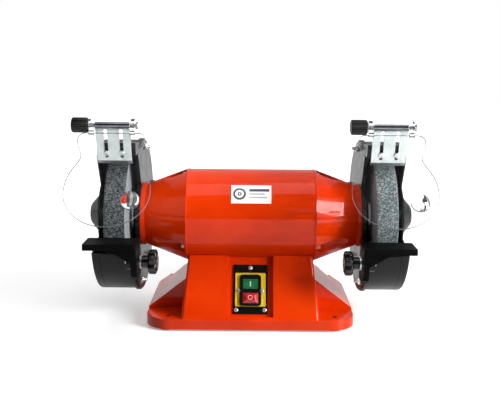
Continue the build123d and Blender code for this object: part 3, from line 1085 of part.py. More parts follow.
def build_shield_lens(name):
    """Biconvex magnifier set in the shield, held by its rim."""
    middle = shield_plane(SIDES[name] * CENTRE_X)
    spot = Plane(
        origin=middle.from_local_coords(Vector(LENS_X, -LENS_S, 0)), x_dir=middle.x_dir, z_dir=middle.z_dir
    )
    rim_r = LENS_R - FIT_GAP
    rise = LENS_CROWN - LENS_RIM
    ball_r = (rim_r**2 + rise**2) / (2 * rise)
    arc_x = rim_r / 2
    arc_y = LENS_CROWN - ball_r + sqrt(ball_r**2 - arc_x**2)
    with BuildPart() as shield_lens:
        with BuildSketch(Plane(origin=spot.origin, x_dir=spot.x_dir, z_dir=-spot.y_dir)):
            with BuildLine():
                Line((0, -LENS_CROWN), (0, LENS_CROWN))
                ThreePointArc((0, LENS_CROWN), (arc_x, arc_y), (rim_r, LENS_RIM))
                Line((rim_r, LENS_RIM), (rim_r, -LENS_RIM))
                ThreePointArc((rim_r, -LENS_RIM), (arc_x, -arc_y), (0, -LENS_CROWN))
            make_face()
        revolve(axis=Axis(spot.origin, spot.z_dir))
    shield_lens.part.label = f"{name}_shield_lens"
    export_step(shield_lens.part, f"parts/{name}_shield_lens.step")


def build_shield_knob(name):
    """Fluted clamping knob on the left end of the rod."""
    origin = rod_centre(SIDES[name] * CENTRE_X)
    with BuildPart() as shield_knob:
        with BuildSketch(Plane(origin=origin - Vector(KNOB_REACH, 0, 0), x_dir=(0, 1, 0), z_dir=(1, 0, 0))):
            Circle(KNOB_R)
            with PolarLocations(KNOB_FLUTE_PITCH, KNOB_FLUTES):
                Circle(KNOB_FLUTE_R, mode=Mode.SUBTRACT)
        extrude(amount=KNOB_W)
        bore_start = origin - Vector(KNOB_BORE_START, 0, 0)
        with BuildSketch(Plane(origin=bore_start, x_dir=(0, 1, 0), z_dir=(1, 0, 0))):
            Circle(ROD_R + FIT_GAP)
        extrude(amount=KNOB_BORE_D, mode=Mode.SUBTRACT)
    shield_knob.part.label = f"{name}_shield_knob"
    export_step(shield_knob.part, f"parts/{name}_shield_knob.step")


# ---------------------------------------------------------------- tool rests
def build_tool_rest(name):
    """Table, leg with an inclined slot, and a rib under the front edge."""
    side = SIDES[name]
    move_y, move_z = rest_shift(name)
    stud_y = STUD_Y - move_y
    stud_z = STUD_Z - move_z
    inner = min(side * REST_IN, side * REST_OUT)
    slot_y = STUD_Y - REST_SLOT_SHIFT * cos(radians(REST_DROP))
    slot_z = STUD_Z - SHAFT_Z + REST_SLOT_SHIFT * sin(radians(REST_DROP))
    with BuildPart() as tool_rest:
        with BuildSketch(Plane.XY.offset(REST_TOP - REST_T)) as table:
            with Locations((inner + (REST_OUT - REST_IN) / 2, (REST_BACK + REST_FRONT) / 2)):
                Rectangle(REST_OUT - REST_IN, REST_BACK - REST_FRONT)
            fillet(table.vertices(), REST_CORNER_R)
        extrude(amount=REST_T)
        fillet(tool_rest.faces().sort_by(Axis.Z)[-1].edges(), REST_EDGE_R)
        leg_start, leg_length = across(side, REST_IN, REST_IN + LEG_T)
        with BuildSketch(leg_start):
            with BuildLine():
                Polyline(
                    (REST_FRONT + LEG_FRONT, LEG_TOP),
                    (REST_FRONT + LEG_FRONT, LEG_KNEE),
                    LEG_HEEL,
                    LEG_TOE_FRONT,
                    LEG_TOE_BACK,
                    LEG_BACK,
                    LEG_WAIST,
                    (REST_BACK, LEG_TOP),
                    close=True,
                )
            make_face()
        extrude(amount=leg_length)
        with BuildSketch(leg_start):
            with Locations((slot_y, slot_z)):
                SlotOverall(REST_SLOT_LENGTH, REST_SLOT_W, rotation=-REST_DROP)
        extrude(amount=leg_length, mode=Mode.SUBTRACT)
        with BuildSketch(Plane.XZ.offset(-(REST_FRONT + RIB_FRONT))):
            with BuildLine():
                Polyline(
                    (side * (REST_IN + LEG_T - RIB_ROOT), REST_TOP - REST_T + RIB_ROOT),
                    (side * RIB_REACH_X, REST_TOP - REST_T + RIB_ROOT),
                    (side * RIB_REACH_X, REST_TOP - REST_T),
                    (side * (REST_IN + LEG_T), REST_TOP - REST_T - RIB_DROP),
                    (side * (REST_IN + LEG_T - RIB_ROOT), REST_TOP - REST_T - RIB_DROP),
                    close=True,
                )
            make_face()
        extrude(amount=RIB_T)
    moved = tool_rest.part.moved(Location((0, move_y, move_z)))
    moved.label = f"{name}_tool_rest"
    export_step(moved, f"parts/{name}_tool_rest.step")


def build_rest_washer(name):
    """Zinc washer between the leg and the knob."""
    start, length = across(SIDES[name], REST_IN - WASHER_NEAR, REST_IN - WASHER_FAR)
    with BuildPart() as rest_washer:
        with BuildSketch(start):
            with Locations((STUD_Y, STUD_Z - SHAFT_Z)):
                Circle(WASHER_R)
                Circle(STUD_R + FIT_GAP, mode=Mode.SUBTRACT)
        extrude(amount=length)
    rest_washer.part.label = f"{name}_rest_washer"
    export_step(rest_washer.part, f"parts/{name}_rest_washer.step")


def build_rest_knob(name):
    """Lobed knob moulded on its stud, which passes washer, leg and lug."""
    side = SIDES[name]
    with BuildPart() as rest_knob:
        head_start, head_length = across(side, REST_KNOB_X, REST_KNOB_END)
        with BuildSketch(head_start):
            with Locations((STUD_Y, STUD_Z - SHAFT_Z)):
                Circle(REST_KNOB_R)
                with PolarLocations(LOBE_PITCH, REST_LOBES):
                    Circle(LOBE_R, mode=Mode.SUBTRACT)
        extrude(amount=head_length)
        collar_start, collar_length = across(side, REST_KNOB_END, REST_IN - COLLAR_GAP)
        with BuildSketch(collar_start):
            with Locations((STUD_Y, STUD_Z - SHAFT_Z)):
                Circle(COLLAR_R)
        extrude(amount=collar_length)
        stud_start, stud_length = across(side, REST_IN - STUD_ROOT, STUD_TIP_X)
        with BuildSketch(stud_start):
            with Locations((STUD_Y, STUD_Z - SHAFT_Z)):
                Circle(STUD_R)
        extrude(amount=stud_length)
    rest_knob.part.label = f"{name}_rest_knob"
    export_step(rest_knob.part, f"parts/{name}_rest_knob.step")


for hand in SIDES:
    build_end_bell(hand)
    build_wheel(hand)
    build_wheel_flange(hand, "inner", WHEEL_X - BLOTTER_T, -1)
    build_wheel_flange(hand, "outer", WHEEL_X + WHEEL_W + BLOTTER_T, 1)
    build_spindle_nut(hand)
    build_guard(hand)
    build_guard_cover(hand)
    build_spark_arrestor(hand)
    build_shield_rod(hand)
    build_eye_shield(hand)
    build_shield_lens(hand)
    build_shield_knob(hand)
    build_tool_rest(hand)
    build_rest_washer(hand)
    build_rest_knob(hand)
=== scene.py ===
import bmesh
import bpy
import json
import math
from mathutils import Matrix, Vector


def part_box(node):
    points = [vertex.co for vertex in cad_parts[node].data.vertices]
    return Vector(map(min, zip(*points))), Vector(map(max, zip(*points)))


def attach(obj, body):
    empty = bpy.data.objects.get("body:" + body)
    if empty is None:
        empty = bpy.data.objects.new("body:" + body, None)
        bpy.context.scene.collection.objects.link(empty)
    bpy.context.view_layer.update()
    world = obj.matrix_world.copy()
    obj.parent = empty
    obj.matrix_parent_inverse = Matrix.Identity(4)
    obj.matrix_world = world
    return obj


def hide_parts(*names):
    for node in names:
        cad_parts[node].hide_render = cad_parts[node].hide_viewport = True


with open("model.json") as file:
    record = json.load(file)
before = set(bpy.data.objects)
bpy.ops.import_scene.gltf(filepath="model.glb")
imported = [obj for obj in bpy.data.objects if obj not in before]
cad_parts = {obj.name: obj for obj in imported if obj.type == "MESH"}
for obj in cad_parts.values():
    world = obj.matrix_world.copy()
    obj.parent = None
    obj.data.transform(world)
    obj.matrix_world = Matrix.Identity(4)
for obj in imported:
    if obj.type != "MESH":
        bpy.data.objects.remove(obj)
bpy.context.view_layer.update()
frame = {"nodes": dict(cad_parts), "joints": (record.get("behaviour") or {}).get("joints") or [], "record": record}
NODES = frame["nodes"]
MM = 0.001
X_AXIS = Vector((1, 0, 0))
SHAFT_Z = 163 * MM
SIDES = {"left": -1, "right": 1}

WELD_GAP = 0.002 * MM
FLAT_ANGLE = 0.6
SMOOTH_ANGLE = 32.0
BEVEL_ANGLE = 28.0
AREA_WEIGHT = 80
TURNED_MATCH = 0.995
TURNED_LEAST = 0.2
FACE_MATCH = 0.995

SHIELD_LEAN = 30
SHIELD_HUB_R = 13 * MM
ARRESTOR_BARREL_R = 5.0 * MM

WHEEL_BORE_R = 8 * MM
WHEEL_ARRIS = 0.9 * MM
WHEEL_ROWS = 14
WHEEL_STEPS = 240

COVER_WALL = 2.5 * MM
COVER_RIM_ROUND = 2.8 * MM
COVER_FOOT_R = 41 * MM
COVER_BACK_R = 37.6 * MM
DOME_RISE = 21.5 * MM
DOME_TOP = 2.5 * MM
DOME_INNER_R = 13 * MM
COVER_STEPS = 180
MOUTH_R = 59 * MM
MOUTH_ARC = (120.5, 207.2)
MOUTH_STEPS = 24
MOUTH_FAR = ((-116 * MM, -42 * MM), (-170 * MM, -56 * MM), (-170 * MM, 172 * MM), (-104 * MM, 172 * MM))
CUT_REACH = 4 * MM

COVER_HEAD_R = 5.8 * MM
COVER_HEAD_H = 3.5 * MM
COVER_SHANK_R = 2.9 * MM
COVER_THREAD_R = 3.0 * MM
COVER_THREAD_LENGTH = 12 * MM
COVER_THREAD_PITCH = 1.0 * MM
COVER_NUT_FLATS = 10.0 * MM
NUT_TURN = 0.7

SHIELD_KNOB_FLUTES = 18
SHIELD_FLUTE_DEPTH = 0.9 * MM
REST_KNOB_LOBES = 8
REST_LOBE_DEPTH = 3.4 * MM
REST_KNOB_R = 18.5 * MM
REST_KNOB_HUB_R = 9.5 * MM
REST_KNOB_REACH = 23.5 * MM
REST_STUD_START = 23 * MM
REST_STUD_R = 3.95 * MM
REST_STUD_PITCH = 1.25 * MM
ROD_R = 3 * MM
ROD_HEAD_H = 4 * MM
ROD_HEAD_FLATS = 10 * MM
LENS_R = 12.95 * MM
LENS_CROWN = 5.0 * MM
LENS_EDGE = 1.4 * MM
LENS_ROWS = 12

FRAME_V = -1.5
FRAME_SIZE = (47, 53)
FRAME_INNER = (43.2, 49.6)
WINDOW_V = -3
WINDOW_SIZE = (33.2, 49.2)
COLLAR_SIZE = (37.0, 50.0)
FRAME_SCREW_U = 18.2
FRAME_SCREW_V = -3.8
FRAME_SEAT_R = 3.6
FRAME_LUG_U = 19.9
FRAME_LUG_SIZE = (6.4, 12.6)
FRAME_BACK = 2 * MM
FRAME_SHEET_FRONT = 4.2 * MM
FRAME_RIDGE_BACK = 3.6 * MM
FRAME_FRONT = 5.0 * MM
RIDGE_ROUND = 0.35 * MM
START_V = 6.9
START_FACE = 6.9 * MM
STOP_V = -15.6
STOP_FACE = 11.9 * MM
MARK_HEIGHT = 0.22 * MM
MARK_ROUND = 0.05 * MM

BADGE_R = 74.1 * MM
BADGE_INK_HALF = 0.03 * MM
BADGE_SIGN_U = -18
BADGE_BARS_U = -3

BODY_OF = {node: body for body, nodes in frame["record"]["behaviour"]["bodies"].items() for node in nodes}


# ---------------------------------------------------------------- material helpers
class Nodes:
    """A small builder for one material's node tree."""

    def __init__(self, name):
        self.mat = bpy.data.materials.new(name)
        self.mat.use_nodes = True
        self.tree = self.mat.node_tree
        self.tree.nodes.clear()
        self.out = self.add("ShaderNodeOutputMaterial")
        self.shader = self.add("ShaderNodeBsdfPrincipled")
        self.link(self.shader.outputs[0], self.out.inputs[0])
        self.coord = self.add("ShaderNodeTexCoord").outputs["Object"]

    def add(self, kind, **values):
        node = self.tree.nodes.new(kind)
        for key, value in values.items():
            setattr(node, key, value)
        return node

    def link(self, source, target):
        self.tree.links.new(source, target)

    def put(self, **values):
        names = {"metallic": "Metallic", "roughness": "Roughness", "ior": "IOR", "coat": "Coat Weight",
                 "coat_roughness": "Coat Roughness", "transmission": "Transmission Weight",
                 "specular": "Specular IOR Level"}
        for key, value in values.items():
            self.shader.inputs[names[key]].default_value = value

    def noise(self, scale, detail, rough=0.55, stretch=None):
        tex = self.add("ShaderNodeTexNoise")
        tex.inputs["Scale"].default_value = scale
        tex.inputs["Detail"].default_value = detail
        tex.inputs["Roughness"].default_value = rough
        self.link(self.mapped(stretch), tex.inputs["Vector"])
        return tex.outputs["Fac"]

    def cell_colour(self, scale):
        tex = self.add("ShaderNodeTexVoronoi")
        tex.inputs["Scale"].default_value = scale
        self.link(self.coord, tex.inputs["Vector"])
        return tex.outputs["Color"]

    def mapped(self, stretch):
        if stretch is None:
            return self.coord
        mapping = self.add("ShaderNodeMapping")
        mapping.inputs["Scale"].default_value = stretch
        self.link(self.coord, mapping.inputs["Vector"])
        return mapping.outputs[0]

    def ramp(self, factor, *stops):
        """Colour ramp: stops are (position, (r, g, b)) or (position, grey)."""
        ramp = self.add("ShaderNodeValToRGB")
        elements = ramp.color_ramp.elements
        while len(elements) < len(stops):
            elements.new(0.5)
        for element, (position, colour) in zip(elements, stops):
            element.position = position
            rgb = colour if isinstance(colour, tuple) else (colour, colour, colour)
            element.color = (*rgb, 1)
        self.link(factor, ramp.inputs[0])
        return ramp.outputs[0]

    def mix(self, factor, a, b):
        node = self.add("ShaderNodeMix", data_type="RGBA")
        for socket, value in ((node.inputs[0], factor), (node.inputs[6], a), (node.inputs[7], b)):
            if hasattr(value, "node"):
                self.link(value, socket)
            elif isinstance(value, tuple):
                socket.default_value = (*value, 1)
            else:
                socket.default_value = value
        return node.outputs[2]

    def math(self, operation, a, b):
        node = self.add("ShaderNodeMath", operation=operation)
        for socket, value in zip(node.inputs, (a, b)):
            if hasattr(value, "node"):
                self.link(value, socket)
            else:
                socket.default_value = value
        return node.outputs[0]

    def colour(self, value):
        target = self.shader.inputs["Base Color"]
        if isinstance(value, tuple):
            target.default_value = (*value, 1)
        else:
            self.link(value, target)

    def rough(self, value):
        self.link(value, self.shader.inputs["Roughness"])

    def bump(self, height, strength, distance, below=None):
        node = self.add("ShaderNodeBump")
        node.inputs["Strength"].default_value = strength
        node.inputs["Distance"].default_value = distance
        self.link(height, node.inputs["Height"])
        if below is not None:
            self.link(below, node.inputs["Normal"])
        self.link(node.outputs[0], self.shader.inputs["Normal"])
        return node.outputs[0]

    def edge_wear(self):
        """White on convex edges, from the mesh's pointiness."""
        geometry = self.add("ShaderNodeNewGeometry")
        return self.ramp(geometry.outputs["Pointiness"], (0.52, 0.0), (0.60, 1.0))


def paint(name, base, dark, bright, roughness, coat, grain=900.0, grain_depth=0.00006, specular=0.15):
    """Sprayed paint on a casting: faint orange peel, soft blotches, a thin rub on raised edges."""
    m = Nodes(name)
    blotch = m.noise(14, 3)
    tone = m.ramp(blotch, (0.3, dark), (0.55, base), (0.8, bright))
    speck = m.noise(420, 2)
    tone = m.mix(m.ramp(speck, (0.62, 0.0), (0.78, 0.16)), tone, bright)
    m.colour(m.mix(m.math("MULTIPLY", m.edge_wear(), 0.25), tone, bright))
    smear = m.noise(26, 5)
    m.rough(m.ramp(smear, (0.3, roughness - 0.05), (0.75, roughness + 0.07)))
    m.put(coat=coat, coat_roughness=0.04, specular=specular)
    peel = m.noise(grain, 2, 0.5)
    wave = m.noise(60, 3)
    low = m.bump(wave, 0.25, 0.0004)
    m.bump(peel, 0.35, grain_depth, low)
    return m.mat


def metal(name, base, dark, roughness, stretch=None, grain=900.0, specks=0.0):
    """Plated or turned steel: fine lines, cloudy tint, a few dark specks."""
    m = Nodes(name)
    cloud = m.noise(45, 5)
    tone = m.ramp(cloud, (0.3, dark), (0.7, base))
    if specks:
        spots = m.noise(700, 2)
        tone = m.mix(m.ramp(spots, (0.66, 0.0), (0.74, specks)), tone, dark)
    m.colour(tone)
    lines = m.noise(grain, 3, 0.6, stretch)
    m.rough(m.ramp(lines, (0.3, roughness - 0.08), (0.75, roughness + 0.12)))
    m.put(metallic=1.0)
    m.bump(lines, 0.22, 0.00004)
    return m.mat


def plastic(name, base, dark, roughness, coat=0.0, grain=1400.0, depth=0.00004, specular=0.3):
    """Moulded plastic: fine texture with faint flow marks."""
    m = Nodes(name)
    flow = m.noise(70, 4)
    tone = m.ramp(flow, (0.3, dark), (0.7, base))
    m.colour(tone)
    m.rough(m.ramp(m.noise(120, 3), (0.3, roughness - 0.04), (0.75, roughness + 0.07)))
    m.put(coat=coat, coat_roughness=0.1, specular=specular)
    m.bump(m.noise(grain, 2), 0.25, depth)
    return m.mat


def grit(name, dark, mid, light, scale):
    """Bonded abrasive: packed grains with dark pores and a few bright facets."""
    m = Nodes(name)
    cell = m.cell_colour(scale)
    grey = m.add("ShaderNodeSeparateColor")
    m.link(cell, grey.inputs[0])
    tone = m.ramp(grey.outputs[0], (0.08, dark), (0.5, mid), (0.90, light))
    fine = m.noise(scale * 1.7, 2, 0.6)
    tone = m.mix(m.ramp(fine, (0.40, 0.75), (0.52, 0.0)), tone, dark)
    bands = m.noise(16, 3)
    m.colour(m.mix(m.ramp(bands, (0.35, 0.25), (0.65, 0.0)), tone, mid))
    m.rough(m.ramp(grey.outputs[1], (0.0, 0.55), (1.0, 0.95)))
    m.put(specular=0.2)
    m.bump(grey.outputs[2], 0.35, 0.00012)
    return m.mat


ORANGE = paint("orange_enamel", (0.63, 0.030, 0.0), (0.54, 0.022, 0.0), (0.70, 0.042, 0.001), 0.34, 0.32,
               specular=0.05)
BLACK_CAST = paint("black_enamel", (0.006, 0.006, 0.0065), (0.004, 0.004, 0.0045), (0.014, 0.014, 0.015),
                   0.42, 0.22, 700.0, 0.00005, 0.06)
REST_BLACK = paint("black_rest_enamel", (0.002, 0.002, 0.002), (0.0015, 0.0015, 0.0015),
                   (0.006, 0.006, 0.006), 0.5, 0.0, 500.0, 0.00012, 0.03)
ZINC = metal("zinc_plate", (0.60, 0.64, 0.63), (0.42, 0.47, 0.47), 0.34, None, 1100.0, 0.35)
ZINC_SCREW = metal("screw_zinc", (0.70, 0.71, 0.70), (0.42, 0.43, 0.43), 0.28, None, 900.0, 0.3)
TURNED = metal("turned_steel", (0.58, 0.58, 0.58), (0.38, 0.38, 0.39), 0.28, (30.0, 1.0, 1.0), 120.0)
# Rod steel with a darkened base colour: painted dark reflection of the unlit room in front of it.
ROD_STEEL_PAINTED_DARK = metal("rod_steel_painted_dark_reflection", (0.22, 0.235, 0.25), (0.10, 0.11, 0.12), 0.18, (1.0, 20.0, 20.0), 160.0)
POLISHED = metal("bearing_steel", (0.80, 0.80, 0.82), (0.60, 0.60, 0.62), 0.14)
LAMINATION = metal("lamination_steel", (0.22, 0.22, 0.23), (0.10, 0.10, 0.11), 0.45, (60.0, 1.0, 1.0), 60.0)
COARSE = grit("coarse_wheel", (0.006, 0.007, 0.008), (0.046, 0.054, 0.060), (0.19, 0.21, 0.225), 560.0)
FINE = grit("fine_wheel", (0.030, 0.036, 0.039), (0.10, 0.12, 0.125), (0.26, 0.30, 0.31), 640.0)
# Side grit: a finer grain, and a lighter grey that is painted light from the key lamp falling on the wheels'
# sides.
WHEEL_SIDE_GRIT_PAINTED_LIGHT = grit("wheel_side_grit_painted_light", (0.10, 0.11, 0.12), (0.22, 0.24, 0.26), (0.36, 0.39, 0.41), 1300.0)
GLOSS_BLACK = plastic("gloss_black_plastic", (0.006, 0.006, 0.006), (0.003, 0.003, 0.003), 0.22, 0.25,
                      specular=0.2)
SATIN_BLACK = plastic("satin_black_plastic", (0.005, 0.005, 0.005), (0.003, 0.003, 0.003), 0.36,
                      specular=0.09)
YELLOW = plastic("yellow_plastic", (0.76, 0.52, 0.012), (0.62, 0.42, 0.010), 0.36, 0.1)
GREEN = plastic("green_plastic", (0.012, 0.15, 0.050), (0.008, 0.11, 0.036), 0.26, 0.4)
RED = plastic("red_plastic", (0.42, 0.016, 0.016), (0.34, 0.010, 0.012), 0.24, 0.5)
MARK = plastic("button_mark_white", (0.72, 0.69, 0.66), (0.64, 0.60, 0.57), 0.40)
RUBBER = plastic("soft_rubber", (0.018, 0.018, 0.018), (0.010, 0.010, 0.010), 0.75, 0.0, 500.0, 0.00012)
CAN = plastic("capacitor_plastic", (0.62, 0.62, 0.58), (0.52, 0.52, 0.49), 0.42)


def card_material():
    m = Nodes("blotter_card")
    fibre = m.noise(500, 5, 0.7, (1.0, 3.0, 1.0))
    m.colour(m.ramp(fibre, (0.3, (0.10, 0.16, 0.11)), (0.7, (0.22, 0.30, 0.22))))
    m.put(roughness=0.9)
    m.bump(fibre, 0.4, 0.0001)
    return m.mat


def winding_material():
    m = Nodes("winding_copper")
    wave = m.add("ShaderNodeTexWave", wave_type="BANDS", bands_direction="X")
    wave.inputs["Scale"].default_value = 180.0
    wave.inputs["Distortion"].default_value = 3.0
    m.link(m.coord, wave.inputs["Vector"])
    m.colour(m.ramp(wave.outputs["Fac"], (0.2, (0.16, 0.040, 0.010)), (0.8, (0.58, 0.20, 0.06))))
    m.put(metallic=0.7, roughness=0.32, coat=0.5, coat_roughness=0.15)
    m.bump(wave.outputs["Fac"], 0.8, 0.0004)
    return m.mat


def clear_material(name, tint, roughness, ior, scratches, clear=1.0):
    """Clear moulded sheet with faint wiping marks."""
    m = Nodes(name)
    m.colour(tint)
    marks = m.noise(260, 4, 0.6, (1.0, 6.0, 1.0))
    m.rough(m.ramp(marks, (0.45, roughness), (0.75, roughness + scratches)))
    m.put(transmission=clear, ior=ior)
    return m.mat


CARD = card_material()
WINDING = winding_material()
CLEAR = clear_material("clear_sheet", (0.985, 0.992, 0.992), 0.0, 1.20, 0.0)
# Grey, half-clear rim of the clear parts: painted shade standing in for the outline that a clear edge shows under
# light.
CLEAR_EDGE_PAINTED_SHADE = clear_material("clear_sheet_painted_edge_shade", (0.16, 0.18, 0.20), 0.12, 1.45, 0.05, 0.35)
LENS = clear_material("clear_lens", (0.99, 0.995, 1.0), 0.0, 1.52, 0.01)


# ---------------------------------------------------------------- mesh helpers
def new_object(name, mesh_or_bm, *materials):
    """Object from a mesh or bmesh, with its materials."""
    if isinstance(mesh_or_bm, bmesh.types.BMesh):
        mesh = bpy.data.meshes.new(name)
        mesh_or_bm.to_mesh(mesh)
        mesh_or_bm.free()
    else:
        mesh = mesh_or_bm
    piece = bpy.data.objects.new(name, mesh)
    bpy.context.scene.collection.objects.link(piece)
    mesh.materials.clear()
    for material in materials:
        mesh.materials.append(material)
    return piece


def smooth(piece, angle=SMOOTH_ANGLE):
    """Smooth shading with sharp edges above an angle."""
    mesh = piece.data
    mesh.polygons.foreach_set("use_smooth", [True] * len(mesh.polygons))
    mesh.set_sharp_from_angle(angle=math.radians(angle))
    return piece


def stand_for(piece, body, slot, *nodes):
    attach(piece, body)
    if nodes:
        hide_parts(*nodes)
    return piece


def soften(node, material, width, segments=2):
    """A copy of a CAD node with its sharp edges rounded off."""
    bm = bmesh.new()
    bm.from_mesh(NODES[node].data)
    bmesh.ops.remove_doubles(bm, verts=bm.verts, dist=WELD_GAP)
    bmesh.ops.dissolve_limit(bm, angle_limit=math.radians(FLAT_ANGLE), verts=bm.verts, edges=bm.edges)
    piece = new_object(f"{node}_detailed", bm, material)
    round_edges(piece, width, segments, BEVEL_ANGLE)
    smooth(piece)
    level_faces(piece)
    return stand_for(piece, BODY_OF[node], slot_of(node), node)


def round_edges(piece, width, segments, angle):
    """Rounds every edge sharper than an angle in degrees."""
    modifier = piece.modifiers.new("round", "BEVEL")
    modifier.width = width
    modifier.segments = segments
    modifier.limit_method = "ANGLE"
    modifier.angle_limit = math.radians(angle)
    modifier.use_clamp_overlap = True
    bake_modifiers(piece)


def level_faces(piece):
    """Normals weighted by face area, so flat faces shade flat beside rounded edges."""
    modifier = piece.modifiers.new("level", "WEIGHTED_NORMAL")
    modifier.mode = "FACE_AREA"
    modifier.weight = AREA_WEIGHT
    modifier.keep_sharp = True
    bake_modifiers(piece)
    return piece


def turn_normals(piece):
    """True cylinder and cone normals on the faces turned round the shaft."""
    mesh = piece.data
    normals = [corner.vector.copy() for corner in mesh.corner_normals]
    for face in mesh.polygons:
        around = Vector((0, face.normal.y, face.normal.z))
        out = Vector((0, face.center.y, face.center.z - SHAFT_Z))
        if around.length < TURNED_LEAST or abs(around.normalized().dot(out.normalized())) < TURNED_MATCH:
            continue
        lift = math.copysign(around.length, around.dot(out))
        for loop in face.loop_indices:
            spot = mesh.vertices[mesh.loops[loop].vertex_index].co
            out = Vector((0, spot.y, spot.z - SHAFT_Z)).normalized() * lift
            normals[loop] = Vector((face.normal.x, out.y, out.z))
    mesh.normals_split_custom_set(normals)
    return piece


def edge_faces(piece, normal, material, axis_point, hub_radius):
    """A second material on a sheet's rim, but not on the ears round an X axis through a point."""
    piece.data.materials.append(material)
    for face in piece.data.polygons:
        reach = face.center - axis_point
        far = math.hypot(reach.y, reach.z) > hub_radius
        face.material_index = int(far and abs(face.normal.dot(normal)) < FACE_MATCH)
    return piece


def bake_modifiers(piece):
    depsgraph = bpy.context.evaluated_depsgraph_get()
    depsgraph.update()
    baked = bpy.data.meshes.new_from_object(piece.evaluated_get(depsgraph))
    piece.modifiers.clear()
    piece.data = baked


def slot_of(node):
    for entry in frame["record"]["subparts"]:
        if entry["node"] == node:
            return entry["material_slot"]
    raise KeyError(node)


def middle_of(low, high):
    return (low + high) / 2


def square_axes(axis):
    """A unit axis and two unit directions square to it."""
    axis = Vector(axis).normalized()
    side = axis.orthogonal().normalized()
    return axis, side, axis.cross(side)


def add_ring(bm, centre, directions, along, radius_at, steps):
    """A ring of vertices round an axis; radius_at(turn, angle) is the radius, turn runs from 0 to 1."""
    axis, side, up = directions
    ring = []
    for i in range(steps):
        angle = 2 * math.pi * i / steps
        spoke = side * math.cos(angle) + up * math.sin(angle)
        ring.append(bm.verts.new(Vector(centre) + axis * along + spoke * radius_at(i / steps, angle)))
    return ring


def add_band(bm, first, second):
    """Faces between two rings; a ring of one vertex is a pole."""
    steps = max(len(first), len(second))
    for i in range(steps if steps > 1 else 0):
        j = (i + 1) % steps
        if len(first) == 1:
            bm.faces.new((first[0], second[j], second[i]))
        elif len(second) == 1:
            bm.faces.new((first[i], first[j], second[0]))
        else:
            bm.faces.new((first[i], first[j], second[j], second[i]))


def capped_skin(name, bm, rings, *materials):
    """A solid object from rings, closed across the first and the last."""
    for first, second in zip(rings, rings[1:]):
        add_band(bm, first, second)
    bm.faces.new(rings[0])
    bm.faces.new(rings[-1])
    bmesh.ops.recalc_face_normals(bm, faces=bm.faces)
    return new_object(name, bm, *materials)


def lathe(name, profile, centre, axis, material, steps=96, smooth_angle=SMOOTH_ANGLE):
    """Solid of revolution: profile is (along, radius) in metres, turned round an axis."""
    bm = bmesh.new()
    directions = square_axes(axis)
    rings = []
    for along, radius in profile:
        if radius == 0:
            rings.append([bm.verts.new(Vector(centre) + directions[0] * along)])
        else:
            rings.append(add_ring(bm, centre, directions, along, lambda turn, angle: radius, steps))
    for first, second in zip(rings, rings[1:]):
        add_band(bm, first, second)
    if len(rings[0]) > 1 and len(rings[-1]) > 1:
        add_band(bm, rings[-1], rings[0])
    bmesh.ops.recalc_face_normals(bm, faces=bm.faces)
    return smooth(new_object(name, bm, material), smooth_angle)


def join(name, pieces):
    """One object from several."""
    bpy.ops.object.select_all(action="DESELECT")
    for piece in pieces:
        piece.select_set(True)
    bpy.context.view_layer.objects.active = pieces[0]
    bpy.ops.object.join()
    pieces[0].name = name
    return pieces[0]


def cut(piece, cutter):
    """Takes the cutter out of the piece and removes the cutter."""
    modifier = piece.modifiers.new("cut", "BOOLEAN")
    modifier.operation = "DIFFERENCE"
    modifier.solver = "EXACT"
    modifier.object = cutter
    bake_modifiers(piece)
    bpy.data.objects.remove(cutter)
    return piece


def islands(node):
    """Centre and box of every separate solid in a CAD node."""
    bm = bmesh.new()
    bm.from_mesh(NODES[node].data)
    bmesh.ops.remove_doubles(bm, verts=bm.verts, dist=WELD_GAP)
    seen = set()
    found = []
    for start in bm.verts:
        if start in seen:
            continue
        stack, group = [start], []
        seen.add(start)
        while stack:
            vert = stack.pop()
            group.append(vert.co.copy())
            for edge in vert.link_edges:
                other = edge.other_vert(vert)
                if other not in seen:
                    seen.add(other)
                    stack.append(other)
        low = Vector([min(v[i] for v in group) for i in range(3)])
        high = Vector([max(v[i] for v in group) for i in range(3)])
        found.append((low, high, group))
    bm.free()
    return found


def cross_slot_head(name, centre, axis, radius, height, material):
    """Pan head with a rounded crown and a tapering cross recess."""
    crown = [(0, 0), (0, radius * 0.96), (height * 0.12, radius), (height * 0.5, radius * 0.97),
             (height * 0.78, radius * 0.84), (height * 0.94, radius * 0.6), (height, radius * 0.3),
             (height, 0)]
    head = lathe(name, crown, centre, axis, material, 40)
    axis, side, up = square_axes(axis)
    narrow = radius * 0.14
    bm = bmesh.new()
    rings = []
    for level, grow in ((height * 1.2, 1.0), (height * 0.38, 0.6)):
        long = radius * 0.60 * grow
        arm = [(long, -narrow), (long, narrow), (narrow, narrow)]
        outline = []
        for quarter in range(4):
            outline += arm
            arm = [(-b, a) for a, b in arm]
        rings.append([bm.verts.new(Vector(centre) + axis * level + side * a + up * b) for a, b in outline])
    cut(head, capped_skin("cutter", bm, rings))
    return smooth(head, 30)


def hex_bolt_end(name, centre, axis, across_flats, height, material, turn=0.0):
    """Hexagon nut or head with the corners turned off on both faces."""
    axis, side, _ = square_axes(axis)
    side = Matrix.Rotation(turn, 3, axis) @ side
    directions = (axis, side, axis.cross(side))
    flat = across_flats / 2
    corner = across_flats / math.sqrt(3)
    bm = bmesh.new()
    rings = []
    for along, limit in ((0.0, flat * 0.96), (height * 0.16, corner), (height * 0.84, corner),
                         (height, flat * 0.96)):
        def hexagon(_, angle):
            return min(flat / math.cos(angle % (math.pi / 3) - math.pi / 6), limit)
        rings.append(add_ring(bm, centre, directions, along, hexagon, 48))
    return smooth(capped_skin(name, bm, rings, material), 24)


